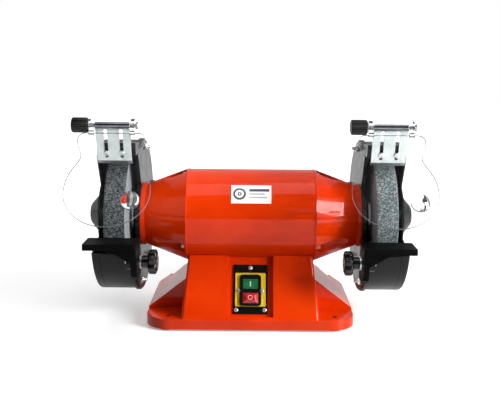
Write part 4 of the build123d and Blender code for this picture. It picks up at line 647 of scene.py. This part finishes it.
def thread(name, centre, axis, radius, length, pitch, material):
    """Rolled thread: a helical ridge wound on a core, closed at both ends."""
    directions = square_axes(axis)
    depth = pitch * 0.55
    rows = max(4, int(length / pitch * 4))
    bm = bmesh.new()
    rings = []
    for row in range(rows + 1):
        along = length * row / rows
        fade = min(1.0, (length - along) / pitch, along / pitch + 0.2)

        def ridge(turn, _):
            valley = abs((along / pitch - turn) % 1.0 - 0.5) * 2
            return radius - depth * valley * fade - depth * (1 - fade)
        rings.append(add_ring(bm, centre, directions, along, ridge, 24))
    return smooth(capped_skin(name, bm, rings, material), 50)


# ---------------------------------------------------------------- camera and light
CAMERA_AT = Vector((0.0, -1.235, 0.406))
CAMERA_PITCH = 7.0
CAMERA_ROLL = 0.5
camera_data = bpy.data.cameras.new("camera")
camera_data.lens = 55.4
camera_data.sensor_width = 36.0
camera_data.shift_x = -0.003
camera_data.shift_y = -0.083
camera = bpy.data.objects.new("camera", camera_data)
camera.location = CAMERA_AT
camera.matrix_world = (Matrix.Translation(CAMERA_AT)
                       @ Matrix.Rotation(math.radians(90 - CAMERA_PITCH), 4, "X")
                       @ Matrix.Rotation(math.radians(CAMERA_ROLL), 4, "Z"))
bpy.context.scene.collection.objects.link(camera)
bpy.context.scene.camera = camera


def area_light(name, place, target, size, power):
    data = bpy.data.lights.new(name, "AREA")
    data.shape = "RECTANGLE"
    data.size, data.size_y = size
    data.energy = power
    light = bpy.data.objects.new(name, data)
    light.location = place
    light.rotation_mode = "QUATERNION"
    light.rotation_quaternion = (Vector(target) - Vector(place)).to_track_quat("-Z", "Y")
    bpy.context.scene.collection.objects.link(light)


area_light("top_softbox", (0.15, -0.25, 1.5), (0, 0, 0.15), (1.5, 0.7), 8)
area_light("right_softbox", (1.6, -1.0, 0.85), (0.05, 0, 0.18), (0.7, 1.1), 72)
area_light("left_rim", (-1.5, 0.6, 0.7), (0, 0, 0.18), (0.5, 1.0), 2)
area_light("front_fill", (0.6, -2.6, 1.2), (0, 0, 0.12), (0.8, 0.6), 1.0)


def studio_world():
    """White backdrop behind the object, a dim room on the operator's side."""
    world = bpy.data.worlds.new("studio")
    world.use_nodes = True
    tree = world.node_tree
    background = tree.nodes["Background"]
    coord = tree.nodes.new("ShaderNodeTexCoord")
    split = tree.nodes.new("ShaderNodeSeparateXYZ")
    room = tree.nodes.new("ShaderNodeValToRGB")
    room.color_ramp.elements[0].position = 0.42
    room.color_ramp.elements[0].color = (0.04, 0.04, 0.04, 1)
    room.color_ramp.elements[1].position = 0.62
    room.color_ramp.elements[1].color = (0.85, 0.85, 0.86, 1)
    half = tree.nodes.new("ShaderNodeMath")
    half.operation = "MULTIPLY_ADD"
    half.inputs[1].default_value = 0.5
    half.inputs[2].default_value = 0.5
    path = tree.nodes.new("ShaderNodeLightPath")
    seen = tree.nodes.new("ShaderNodeMath")
    seen.operation = "MAXIMUM"
    choose = tree.nodes.new("ShaderNodeMix")
    choose.data_type = "RGBA"
    choose.inputs[7].default_value = (1.0, 1.0, 1.0, 1)
    links = tree.links
    links.new(coord.outputs["Generated"], split.inputs[0])
    links.new(split.outputs["Y"], half.inputs[0])
    links.new(half.outputs[0], room.inputs[0])
    links.new(path.outputs["Is Camera Ray"], seen.inputs[0])
    links.new(path.outputs["Is Transmission Ray"], seen.inputs[1])
    links.new(seen.outputs[0], choose.inputs[0])
    links.new(room.outputs[0], choose.inputs[6])
    links.new(choose.outputs[2], background.inputs[0])
    background.inputs[1].default_value = 1.0
    return world


bpy.context.scene.world = studio_world()
bpy.context.scene.view_settings.view_transform = "Standard"


def floor_material():
    """Pale satin floor that fades into the white backdrop away from the object."""
    m = Nodes("studio_floor")
    bounce = m.add("ShaderNodeLightPath").outputs["Is Diffuse Ray"]
    pale = m.ramp(m.noise(3, 2), (0.3, (0.90, 0.90, 0.90)), (0.7, (0.93, 0.93, 0.93)))
    m.colour(m.mix(bounce, pale, (0.30, 0.30, 0.30)))
    m.put(roughness=0.30, specular=0.4)
    distance = m.add("ShaderNodeVectorMath", operation="LENGTH")
    m.link(m.coord, distance.inputs[0])
    glow = m.add("ShaderNodeMapRange")
    glow.inputs["From Min"].default_value = 0.45
    glow.inputs["From Max"].default_value = 1.5
    glow.inputs["To Min"].default_value = 0.27
    glow.inputs["To Max"].default_value = 0.85
    m.link(distance.outputs["Value"], glow.inputs["Value"])
    m.shader.inputs["Emission Color"].default_value = (1, 1, 1, 1)
    kept = m.math("SUBTRACT", 1.0, m.math("MULTIPLY", bounce, 0.6))
    m.link(m.math("MULTIPLY", glow.outputs[0], kept), m.shader.inputs["Emission Strength"])
    return m.mat


bm = bmesh.new()
bmesh.ops.create_grid(bm, x_segments=4, y_segments=4, size=6.0)
floor = new_object("studio_floor", bm, floor_material())


# ---------------------------------------------------------------- CAD nodes that keep their shape
KEPT = {
    "bottom_cover": ZINC, "rubber_feet": RUBBER, "bottom_cover_screws": ZINC_SCREW,
    "stator_core": LAMINATION, "stator_windings": WINDING, "tie_bolts": ZINC_SCREW,
    "bearing_outer_rings": POLISHED, "bearing_inner_rings": POLISHED, "bearing_balls": POLISHED,
    "saddle_bolts": ZINC_SCREW, "start_capacitor": CAN, "gland_nut": SATIN_BLACK,
    "guard_bolts": ZINC_SCREW, "rotor_shaft": TURNED, "rotor_core": LAMINATION, "wheel_blotters": CARD,
}
for node, material in KEPT.items():
    mesh = NODES[node].data
    mesh.materials.clear()
    mesh.materials.append(material)


# ---------------------------------------------------------------- softened copies of the castings
LEAN = math.radians(SHIELD_LEAN)
SHIELD_NORMAL = Vector((0, -math.cos(LEAN), math.sin(LEAN)))
soften("base_casting", ORANGE, 1.2 * MM, 3)
soften("cable_gland", SATIN_BLACK, 0.4 * MM, 2)
turn_normals(soften("motor_shell", ORANGE, 0.25 * MM, 2))
soften("switch_plate", SATIN_BLACK, 0.3 * MM, 2)
soften("switch_housing", SATIN_BLACK, 0.7 * MM, 3)
soften("start_button", GREEN, 0.5 * MM, 2)
soften("stop_button", RED, 0.7 * MM, 3)
for side_name in SIDES:
    turn_normals(soften(f"{side_name}_end_bell", ORANGE, 0.7 * MM, 2))
    turn_normals(soften(f"{side_name}_wheel_guard", BLACK_CAST, 0.8 * MM, 2))
    soften(f"{side_name}_tool_rest", REST_BLACK, 0.5 * MM, 2)
    soften(f"{side_name}_inner_flange", TURNED, 0.3 * MM, 2)
    soften(f"{side_name}_outer_flange", TURNED, 0.3 * MM, 2)
    soften(f"{side_name}_rest_washer", ZINC_SCREW, 0.3 * MM, 2)
    soften(f"{side_name}_spindle_nut", ZINC_SCREW, 0.5 * MM, 2)
    shield = soften(f"{side_name}_eye_shield", CLEAR, 0.8 * MM, 2)
    rod_middle = middle_of(*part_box(f"{side_name}_shield_rod"))
    # The shield's rim faces, but not its ears, take the grey edge material: painted outline shade.
    edge_faces(shield, SHIELD_NORMAL, CLEAR_EDGE_PAINTED_SHADE, rod_middle, SHIELD_HUB_R)


# ---------------------------------------------------------------- guard covers
def cover_profile(depth, rim):
    """Pan with a rounded rim and a conical dome; depth is from the joint to the flat face."""
    outside = [(0, rim), (depth - 3 * MM, rim), (depth - 1.6 * MM, rim - 0.35 * MM),
               (depth - 0.5 * MM, rim - 1.2 * MM), (depth, rim - COVER_RIM_ROUND), (depth, 60 * MM),
               (depth, COVER_FOOT_R), (depth + 0.4 * MM, 39.4 * MM), (depth + 1.4 * MM, COVER_BACK_R),
               (depth + 17.8 * MM, 18.4 * MM), (depth + 19.6 * MM, 16.0 * MM),
               (depth + 20.8 * MM, 13.6 * MM), (depth + 21.4 * MM, 10.4 * MM),
               (depth + DOME_RISE, 6 * MM), (depth + DOME_RISE, 0)]
    inner_top = depth + DOME_RISE - DOME_TOP
    inside = [(inner_top, 0), (inner_top, DOME_INNER_R), (inner_top - 2 * MM, DOME_INNER_R + 2 * MM),
              (depth - COVER_WALL, COVER_BACK_R), (depth - COVER_WALL, rim - COVER_WALL),
              (0, rim - COVER_WALL)]
    return outside + inside


def mouth_outline():
    """Work mouth in (y, z) from the shaft: an arc round the flange, then far outside the cover."""
    start, stop = MOUTH_ARC
    points = []
    for i in range(MOUTH_STEPS + 1):
        angle = math.radians(start + (stop - start) * i / MOUTH_STEPS)
        points.append((MOUTH_R * math.cos(angle), MOUTH_R * math.sin(angle)))
    return points + list(MOUTH_FAR)


def guard_cover(side_name, sign):
    node = f"{side_name}_guard_cover"
    low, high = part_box(node)
    joint, tip = (low.x, high.x) if sign > 0 else (-high.x, -low.x)
    profile = cover_profile(tip - DOME_RISE - joint, (high.z - low.z) / 2)
    piece = lathe(f"{node}_detailed", profile, (sign * joint, 0, SHAFT_Z), (sign, 0, 0), BLACK_CAST,
                  COVER_STEPS)
    bm = bmesh.new()
    rings = []
    for x in (joint - CUT_REACH, tip + CUT_REACH):
        rings.append([bm.verts.new((sign * x, y, SHAFT_Z + z)) for y, z in mouth_outline()])
    cut(piece, capped_skin("cutter", bm, rings))
    round_edges(piece, 0.5 * MM, 2, 45)
    smooth(piece, 40)
    turn_normals(level_faces(piece))
    stand_for(piece, "frame", slot_of(node), node)


for side_name, sign in SIDES.items():
    guard_cover(side_name, sign)


# ---------------------------------------------------------------- grinding wheels
def wheel(side_name, face_material):
    """Dressed wheel with rounded arrises; the grinding face and the sides have their own grit, the sides' lighter
    grey partly painted light.
    """
    low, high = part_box(f"{side_name}_wheel")
    radius = (high.y - low.y) / 2
    width = high.x - low.x
    corner = WHEEL_ARRIS * 0.3
    flank = [(0.0, WHEEL_BORE_R), (0.0, radius * 0.45), (0.0, radius * 0.9), (0.0, radius - WHEEL_ARRIS),
             (corner, radius - corner)]
    tread = [WHEEL_ARRIS + (width - 2 * WHEEL_ARRIS) * i / WHEEL_ROWS for i in range(WHEEL_ROWS + 1)]
    profile = flank + [(along, radius) for along in tread]
    profile += [(width - along, reach) for along, reach in reversed(flank)]
    piece = lathe(f"{side_name}_wheel_detailed", profile, (low.x, 0, SHAFT_Z), X_AXIS, face_material,
                  WHEEL_STEPS, 40)
    piece.data.materials.append(WHEEL_SIDE_GRIT_PAINTED_LIGHT)
    # Side faces take the side grit: a finer grain, lightened with painted light.
    for face in piece.data.polygons:
        face.material_index = int(abs(face.normal.x) > 0.8)
    smooth(piece, 40)
    stand_for(piece, "rotor", slot_of(f"{side_name}_wheel"), f"{side_name}_wheel")


wheel("left", COARSE)
wheel("right", FINE)


# ---------------------------------------------------------------- screws and nuts
def node_screws(node, axis, head_radius, head_height, shank_radius, material, body):
    """Every screw of a CAD group remade with a crowned head and a driving recess."""
    direction, side, up = square_axes(axis)
    made = []
    for number, (_, _, points) in enumerate(islands(node)):
        reach = [direction.dot(point) for point in points]
        top, tail = max(reach), min(reach)
        centre = Vector((0, 0, 0))
        for square in (side, up):
            spread = [square.dot(point) for point in points]
            centre += square * (min(spread) + max(spread)) / 2
        seat = centre + direction * (top - head_height)
        made.append(cross_slot_head(f"{node}_head_{number}", seat, direction, head_radius, head_height,
                                    material))
        length = top - head_height - tail
        shank = [(0, 0), (0, shank_radius * 0.8), (shank_radius * 0.3, shank_radius),
                 (length, shank_radius), (length, 0)]
        made.append(lathe(f"{node}_shank_{number}", shank, seat - direction * length, direction, material,
                          28))
    stand_for(join(f"{node}_detailed", made), body, slot_of(node), node)


JOINT_AXES = {joint["name"]: Vector(joint["axis"]) for joint in frame["joints"]}
SWITCH_N = -JOINT_AXES["start_press"].normalized()
ARRESTOR_N = X_AXIS.cross(JOINT_AXES["left_arrestor_slide"]).normalized()
if ARRESTOR_N.y > 0:
    ARRESTOR_N.negate()
node_screws("arrestor_screws", ARRESTOR_N, 4.7 * MM, 3.2 * MM, 2.05 * MM, ZINC_SCREW, "frame")
node_screws("switch_plate_screws", SWITCH_N, 3.4 * MM, 1.8 * MM, 1.9 * MM, ZINC_SCREW, "frame")
node_screws("switch_frame_screws", SWITCH_N, 3.1 * MM, 1.6 * MM, 1.6 * MM, ZINC_SCREW, "frame")

cover_pieces = []
for number, (low, high, _) in enumerate(islands("guard_cover_screws")):
    sign = 1 if low.x > 0 else -1
    inner, outer = (low.x, high.x) if sign > 0 else (high.x, low.x)
    middle = middle_of(low, high)
    axis = X_AXIS * sign
    seat = Vector((outer - sign * COVER_HEAD_H, middle.y, middle.z))
    plain = abs(seat.x - inner) - COVER_THREAD_LENGTH
    shoulder = seat - axis * plain
    cover_pieces.append(cross_slot_head(f"cover_head_{number}", seat, axis, COVER_HEAD_R, COVER_HEAD_H,
                                        GLOSS_BLACK))
    shank = [(0, 0), (0, COVER_SHANK_R), (plain, COVER_SHANK_R), (plain, 0)]
    cover_pieces.append(lathe(f"cover_shank_{number}", shank, shoulder, axis, ZINC_SCREW, 24))
    cover_pieces.append(thread(f"cover_thread_{number}", shoulder, -axis, COVER_THREAD_R,
                               COVER_THREAD_LENGTH, COVER_THREAD_PITCH, ZINC_SCREW))
nut_pieces = []
for number, (low, high, _) in enumerate(islands("guard_cover_nuts")):
    middle = middle_of(low, high)
    nut_pieces.append(hex_bolt_end(f"cover_nut_{number}", (low.x, middle.y, middle.z), X_AXIS,
                                   COVER_NUT_FLATS, high.x - low.x, ZINC_SCREW, number * NUT_TURN))
for node, pieces in (("guard_cover_screws", cover_pieces), ("guard_cover_nuts", nut_pieces)):
    stand_for(join(f"{node}_detailed", pieces), "frame", slot_of(node), node)


# ---------------------------------------------------------------- knobs, rods and lenses
def fluted(name, centre, axis, profile, lobes, depth, power, material):
    """Turned knob whose rim is cut by flutes; profile is (along, radius, share of the flute depth)."""
    directions = square_axes(axis)
    bm = bmesh.new()
    rings = []
    for along, radius, share in profile:
        def rim(_, angle):
            valley = (0.5 + 0.5 * math.cos(lobes * angle)) ** power
            return radius - depth * share * valley
        rings.append(add_ring(bm, centre, directions, along, rim, 288))
    return smooth(capped_skin(name, bm, rings, material), 38)


def shield_knob(side_name):
    """Straight fine flutes, rounded shoulders, a shallow dish in the end."""
    node = f"{side_name}_shield_knob"
    low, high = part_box(node)
    middle = middle_of(low, high)
    reach = high.x - low.x
    radius = (high.y - low.y) / 2
    outline = [(1.1 * MM, radius * 0.3, 0), (0.9 * MM, radius * 0.62, 0), (0.0, radius * 0.72, 0),
               (0.2 * MM, radius * 0.84, 0.2), (0.9 * MM, radius * 0.94, 0.6), (2.4 * MM, radius, 1.0),
               (reach - 4.5 * MM, radius, 1.0), (reach - 2.2 * MM, radius * 0.95, 0.7),
               (reach - 1.0 * MM, radius * 0.80, 0.2), (reach, radius * 0.70, 0), (reach, radius * 0.3, 0)]
    knob = fluted(f"{node}_detailed", (low.x, middle.y, middle.z), X_AXIS, outline, SHIELD_KNOB_FLUTES,
                  SHIELD_FLUTE_DEPTH, 1.6, GLOSS_BLACK)
    stand_for(knob, f"{side_name}_knob", slot_of(node), node)


def rest_knob(side_name, sign):
    """Eight lobes, a raised hub, a collar, and the stud it is moulded on."""
    node = f"{side_name}_rest_knob"
    low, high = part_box(node)
    middle = middle_of(low, high)
    back, tip = (low.x, high.x) if sign > 0 else (high.x, low.x)
    centre = Vector((back, middle.y, middle.z))
    axis = X_AXIS * sign
    outline = [(0.6 * MM, 3 * MM, 0), (0.6 * MM, 7 * MM, 0), (0.0, 8 * MM, 0), (0.0, 11.5 * MM, 0),
               (0.5 * MM, 14.5 * MM, 0.35), (1.6 * MM, 17.2 * MM, 0.8), (3.2 * MM, REST_KNOB_R, 1.0),
               (10.8 * MM, REST_KNOB_R, 1.0), (12.6 * MM, 17.2 * MM, 0.8), (13.6 * MM, 14.5 * MM, 0.35),
               (14.0 * MM, 11.5 * MM, 0), (14.2 * MM, REST_KNOB_HUB_R, 0), (22.8 * MM, REST_KNOB_HUB_R, 0),
               (REST_KNOB_REACH, 8.8 * MM, 0), (REST_KNOB_REACH, 4.0 * MM, 0)]
    head = fluted(f"{side_name}_rest_head", centre, axis, outline, REST_KNOB_LOBES, REST_LOBE_DEPTH, 1.1,
                  GLOSS_BLACK)
    stud = thread(f"{side_name}_rest_stud", centre + axis * REST_STUD_START, axis, REST_STUD_R,
                  abs(tip - back) - REST_STUD_START, REST_STUD_PITCH, ZINC_SCREW)
    stand_for(join(f"{node}_detailed", [head, stud]), f"{side_name}_rest_screw", slot_of(node), node)


def shield_rod(side_name):
    """Plain rod with a chamfered hexagon head."""
    node = f"{side_name}_shield_rod"
    low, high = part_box(node)
    middle = middle_of(low, high)
    length = high.x - low.x - ROD_HEAD_H
    outline = [(0, 0), (0, 2.5 * MM), (0.5 * MM, ROD_R), (length, ROD_R), (length, 0)]
    bar = lathe(f"{side_name}_rod_bar", outline, (low.x, middle.y, middle.z), X_AXIS, ROD_STEEL_PAINTED_DARK, 40)
    hexagon = hex_bolt_end(f"{side_name}_rod_head", (low.x + length, middle.y, middle.z), X_AXIS,
                           ROD_HEAD_FLATS, ROD_HEAD_H, ZINC_SCREW, 0.3)
    stand_for(join(f"{node}_detailed", [bar, hexagon]), f"{side_name}_arrestor", slot_of(node), node)


def shield_lens(side_name):
    """Magnifier: two true spherical faces in a thin rim."""
    node = f"{side_name}_shield_lens"
    rise = LENS_CROWN - LENS_EDGE
    ball = (LENS_R**2 + rise**2) / (2 * rise)
    face = []
    for i in range(LENS_ROWS + 1):
        radius = LENS_R * i / LENS_ROWS
        face.append((LENS_CROWN - ball + math.sqrt(ball**2 - radius**2), radius))
    outline = [(-along, radius) for along, radius in face] + list(reversed(face))
    lens = lathe(f"{node}_detailed", outline, middle_of(*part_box(node)), SHIELD_NORMAL, LENS, 72, 50)
    # The lens rim takes the grey edge material: painted outline shade.
    lens.data.materials.append(CLEAR_EDGE_PAINTED_SHADE)
    for polygon in lens.data.polygons:
        polygon.material_index = int(abs(polygon.normal.dot(SHIELD_NORMAL)) < 0.5)
    stand_for(lens, f"{side_name}_shield", slot_of(node), node)


def arrestor_bracket(side_name):
    """Bracket plate, with the rolled barrel in darkened rod steel: painted dark reflection."""
    bracket = soften(f"{side_name}_spark_arrestor", ZINC, 0.25 * MM, 2)
    rod = middle_of(*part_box(f"{side_name}_shield_rod"))
    bracket.data.materials.append(ROD_STEEL_PAINTED_DARK)
    # Faces round the rod axis take the darkened steel, a painted dark reflection on the barrel.
    for polygon in bracket.data.polygons:
        away = math.hypot(polygon.center.y - rod.y, polygon.center.z - rod.z)
        polygon.material_index = int(away < ARRESTOR_BARREL_R)


for side_name, sign in SIDES.items():
    shield_knob(side_name)
    rest_knob(side_name, sign)
    shield_rod(side_name)
    shield_lens(side_name)
    arrestor_bracket(side_name)


# ---------------------------------------------------------------- flat shapes with rounded edges
def rounded_rect(cx, cy, width, height, radius):
    steps = 6
    points = []
    for sx, sy, start in ((1, 1, 0), (-1, 1, 90), (-1, -1, 180), (1, -1, 270)):
        for i in range(steps + 1):
            angle = math.radians(start + 90 * i / steps)
            points.append((cx + sx * (width / 2 - radius) + radius * math.cos(angle),
                           cy + sy * (height / 2 - radius) + radius * math.sin(angle)))
    return points


def disc(cx, cy, radius):
    angles = [math.radians(7.5 * i) for i in range(48)]
    return [(cx + radius * math.cos(angle), cy + radius * math.sin(angle)) for angle in angles]


def in_metres(points):
    return [(x * MM, y * MM) for x, y in points]


def slab(name, loops, low, high, round_edge, material, place):
    """Extruded outline with holes and rounded edges; place turns local (x, y, height) into a point."""
    curve = bpy.data.curves.new(name, "CURVE")
    curve.dimensions = "2D"
    curve.fill_mode = "BOTH"
    curve.extrude = (high - low) / 2 - round_edge
    curve.bevel_depth = round_edge
    curve.bevel_resolution = 2
    curve.offset = -round_edge
    for loop in loops:
        spline = curve.splines.new("POLY")
        spline.points.add(len(loop) - 1)
        for point, (x, y) in zip(spline.points, loop):
            point.co = (x, y, 0, 1)
        spline.use_cyclic_u = True
    holder = bpy.data.objects.new(name, curve)
    bpy.context.scene.collection.objects.link(holder)
    depsgraph = bpy.context.evaluated_depsgraph_get()
    depsgraph.update()
    mesh = bpy.data.meshes.new_from_object(holder.evaluated_get(depsgraph))
    bpy.data.objects.remove(holder)
    middle = (low + high) / 2
    for vert in mesh.vertices:
        vert.co = place(vert.co.x, vert.co.y, vert.co.z + middle)
    piece = new_object(name, mesh, material)
    return level_faces(smooth(piece, 40))


# ---------------------------------------------------------------- switch
plate_low, plate_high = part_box("switch_plate")
SWITCH_Y = SWITCH_N.cross(X_AXIS)
SWITCH_AT = (plate_low + plate_high) / 2 - SWITCH_N * 1.0 * MM


def on_switch(x, y, height):
    return SWITCH_AT + X_AXIS * x + SWITCH_Y * y + SWITCH_N * height


def frame_ridge(name, loops):
    """A raised rib of the yellow frame."""
    return slab(name, loops, FRAME_RIDGE_BACK, FRAME_FRONT, RIDGE_ROUND, YELLOW, on_switch)


frame_edge = in_metres(rounded_rect(0, FRAME_V, *FRAME_SIZE, 2))
frame_inner = in_metres(rounded_rect(0, FRAME_V, *FRAME_INNER, 1.4))
switch_window = in_metres(rounded_rect(0, WINDOW_V, *WINDOW_SIZE, 5))
collar_edge = in_metres(rounded_rect(0, WINDOW_V, *COLLAR_SIZE, 5.6))
switch_parts = [
    slab("frame_sheet", [frame_edge, switch_window], FRAME_BACK, FRAME_SHEET_FRONT, 0.3 * MM, YELLOW,
         on_switch),
    frame_ridge("frame_border", [frame_edge, frame_inner]),
    frame_ridge("frame_collar", [collar_edge, switch_window]),
]
for sign in (-1, 1):
    lug = in_metres(rounded_rect(sign * FRAME_LUG_U, FRAME_SCREW_V, *FRAME_LUG_SIZE, 2.6))
    switch_parts.append(frame_ridge("frame_lug", [lug]))
    seat = in_metres(disc(sign * FRAME_SCREW_U, FRAME_SCREW_V, FRAME_SEAT_R))
    switch_parts.append(slab("frame_screw_seat", [seat], FRAME_BACK, FRAME_FRONT, 0.3 * MM, YELLOW,
                             on_switch))
stand_for(join("switch_frame_detailed", switch_parts), "frame", slot_of("switch_frame"), "switch_frame")


def button_mark(name, loops, face, body):
    mark = slab(name, [in_metres(loop) for loop in loops], face, face + MARK_HEIGHT, MARK_ROUND, MARK,
                on_switch)
    stand_for(mark, body, "badge_white")


button_mark("start_mark", [rounded_rect(0, START_V, 1.7, 8.2, 0.3)], START_FACE, "start_key")
button_mark("stop_mark", [disc(0, STOP_V, 3.5), disc(0, STOP_V, 2.9)], STOP_FACE, "stop_key")


# ---------------------------------------------------------------- badge with a plain generic pattern
badge_low, badge_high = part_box("badge_plate")
badge_angle = math.atan2((badge_low.z + badge_high.z) / 2 - SHAFT_Z, (badge_low.y + badge_high.y) / 2)


def on_badge(x, y, height):
    """Local x along the motor, y up the badge, height off the film, wrapped round the shell."""
    angle = badge_angle - y / BADGE_R
    reach = BADGE_R + height
    return Vector((x, reach * math.cos(angle), SHAFT_Z + reach * math.sin(angle)))


BADGE_FILM = plastic("badge_film", (0.86, 0.86, 0.84), (0.78, 0.78, 0.76), 0.42)
BADGE_INK = plastic("badge_ink", (0.06, 0.07, 0.08), (0.045, 0.05, 0.06), 0.45)
BADGE_TINT = plastic("badge_tint", (0.42, 0.44, 0.45), (0.36, 0.38, 0.39), 0.45)
soften("badge_plate", BADGE_FILM, 0.1 * MM, 1)


def badge_print_part(name, loops, material):
    return slab(name, [in_metres(loop) for loop in loops], -BADGE_INK_HALF, BADGE_INK_HALF,
                BADGE_INK_HALF * 0.4, material, on_badge)


badge_parts = [
    badge_print_part("badge_wheel", [disc(BADGE_SIGN_U, 0, 10.0), disc(BADGE_SIGN_U, 0, 6.8)], BADGE_INK),
    badge_print_part("badge_hub", [disc(BADGE_SIGN_U, 0, 3.2), disc(BADGE_SIGN_U, 0, 1.4)], BADGE_INK),
]
for row, (y, width, height, shade) in enumerate(((6.4, 31, 4.6, BADGE_INK), (-0.2, 24, 2.6, BADGE_TINT),
                                                 (-6.0, 28, 2.6, BADGE_TINT))):
    bar = rounded_rect(BADGE_BARS_U + width / 2, y, width, height, 0.6)
    badge_parts.append(badge_print_part(f"badge_bar_{row}", [bar], shade))
stand_for(join("badge_print", badge_parts), "frame", "badge_white")
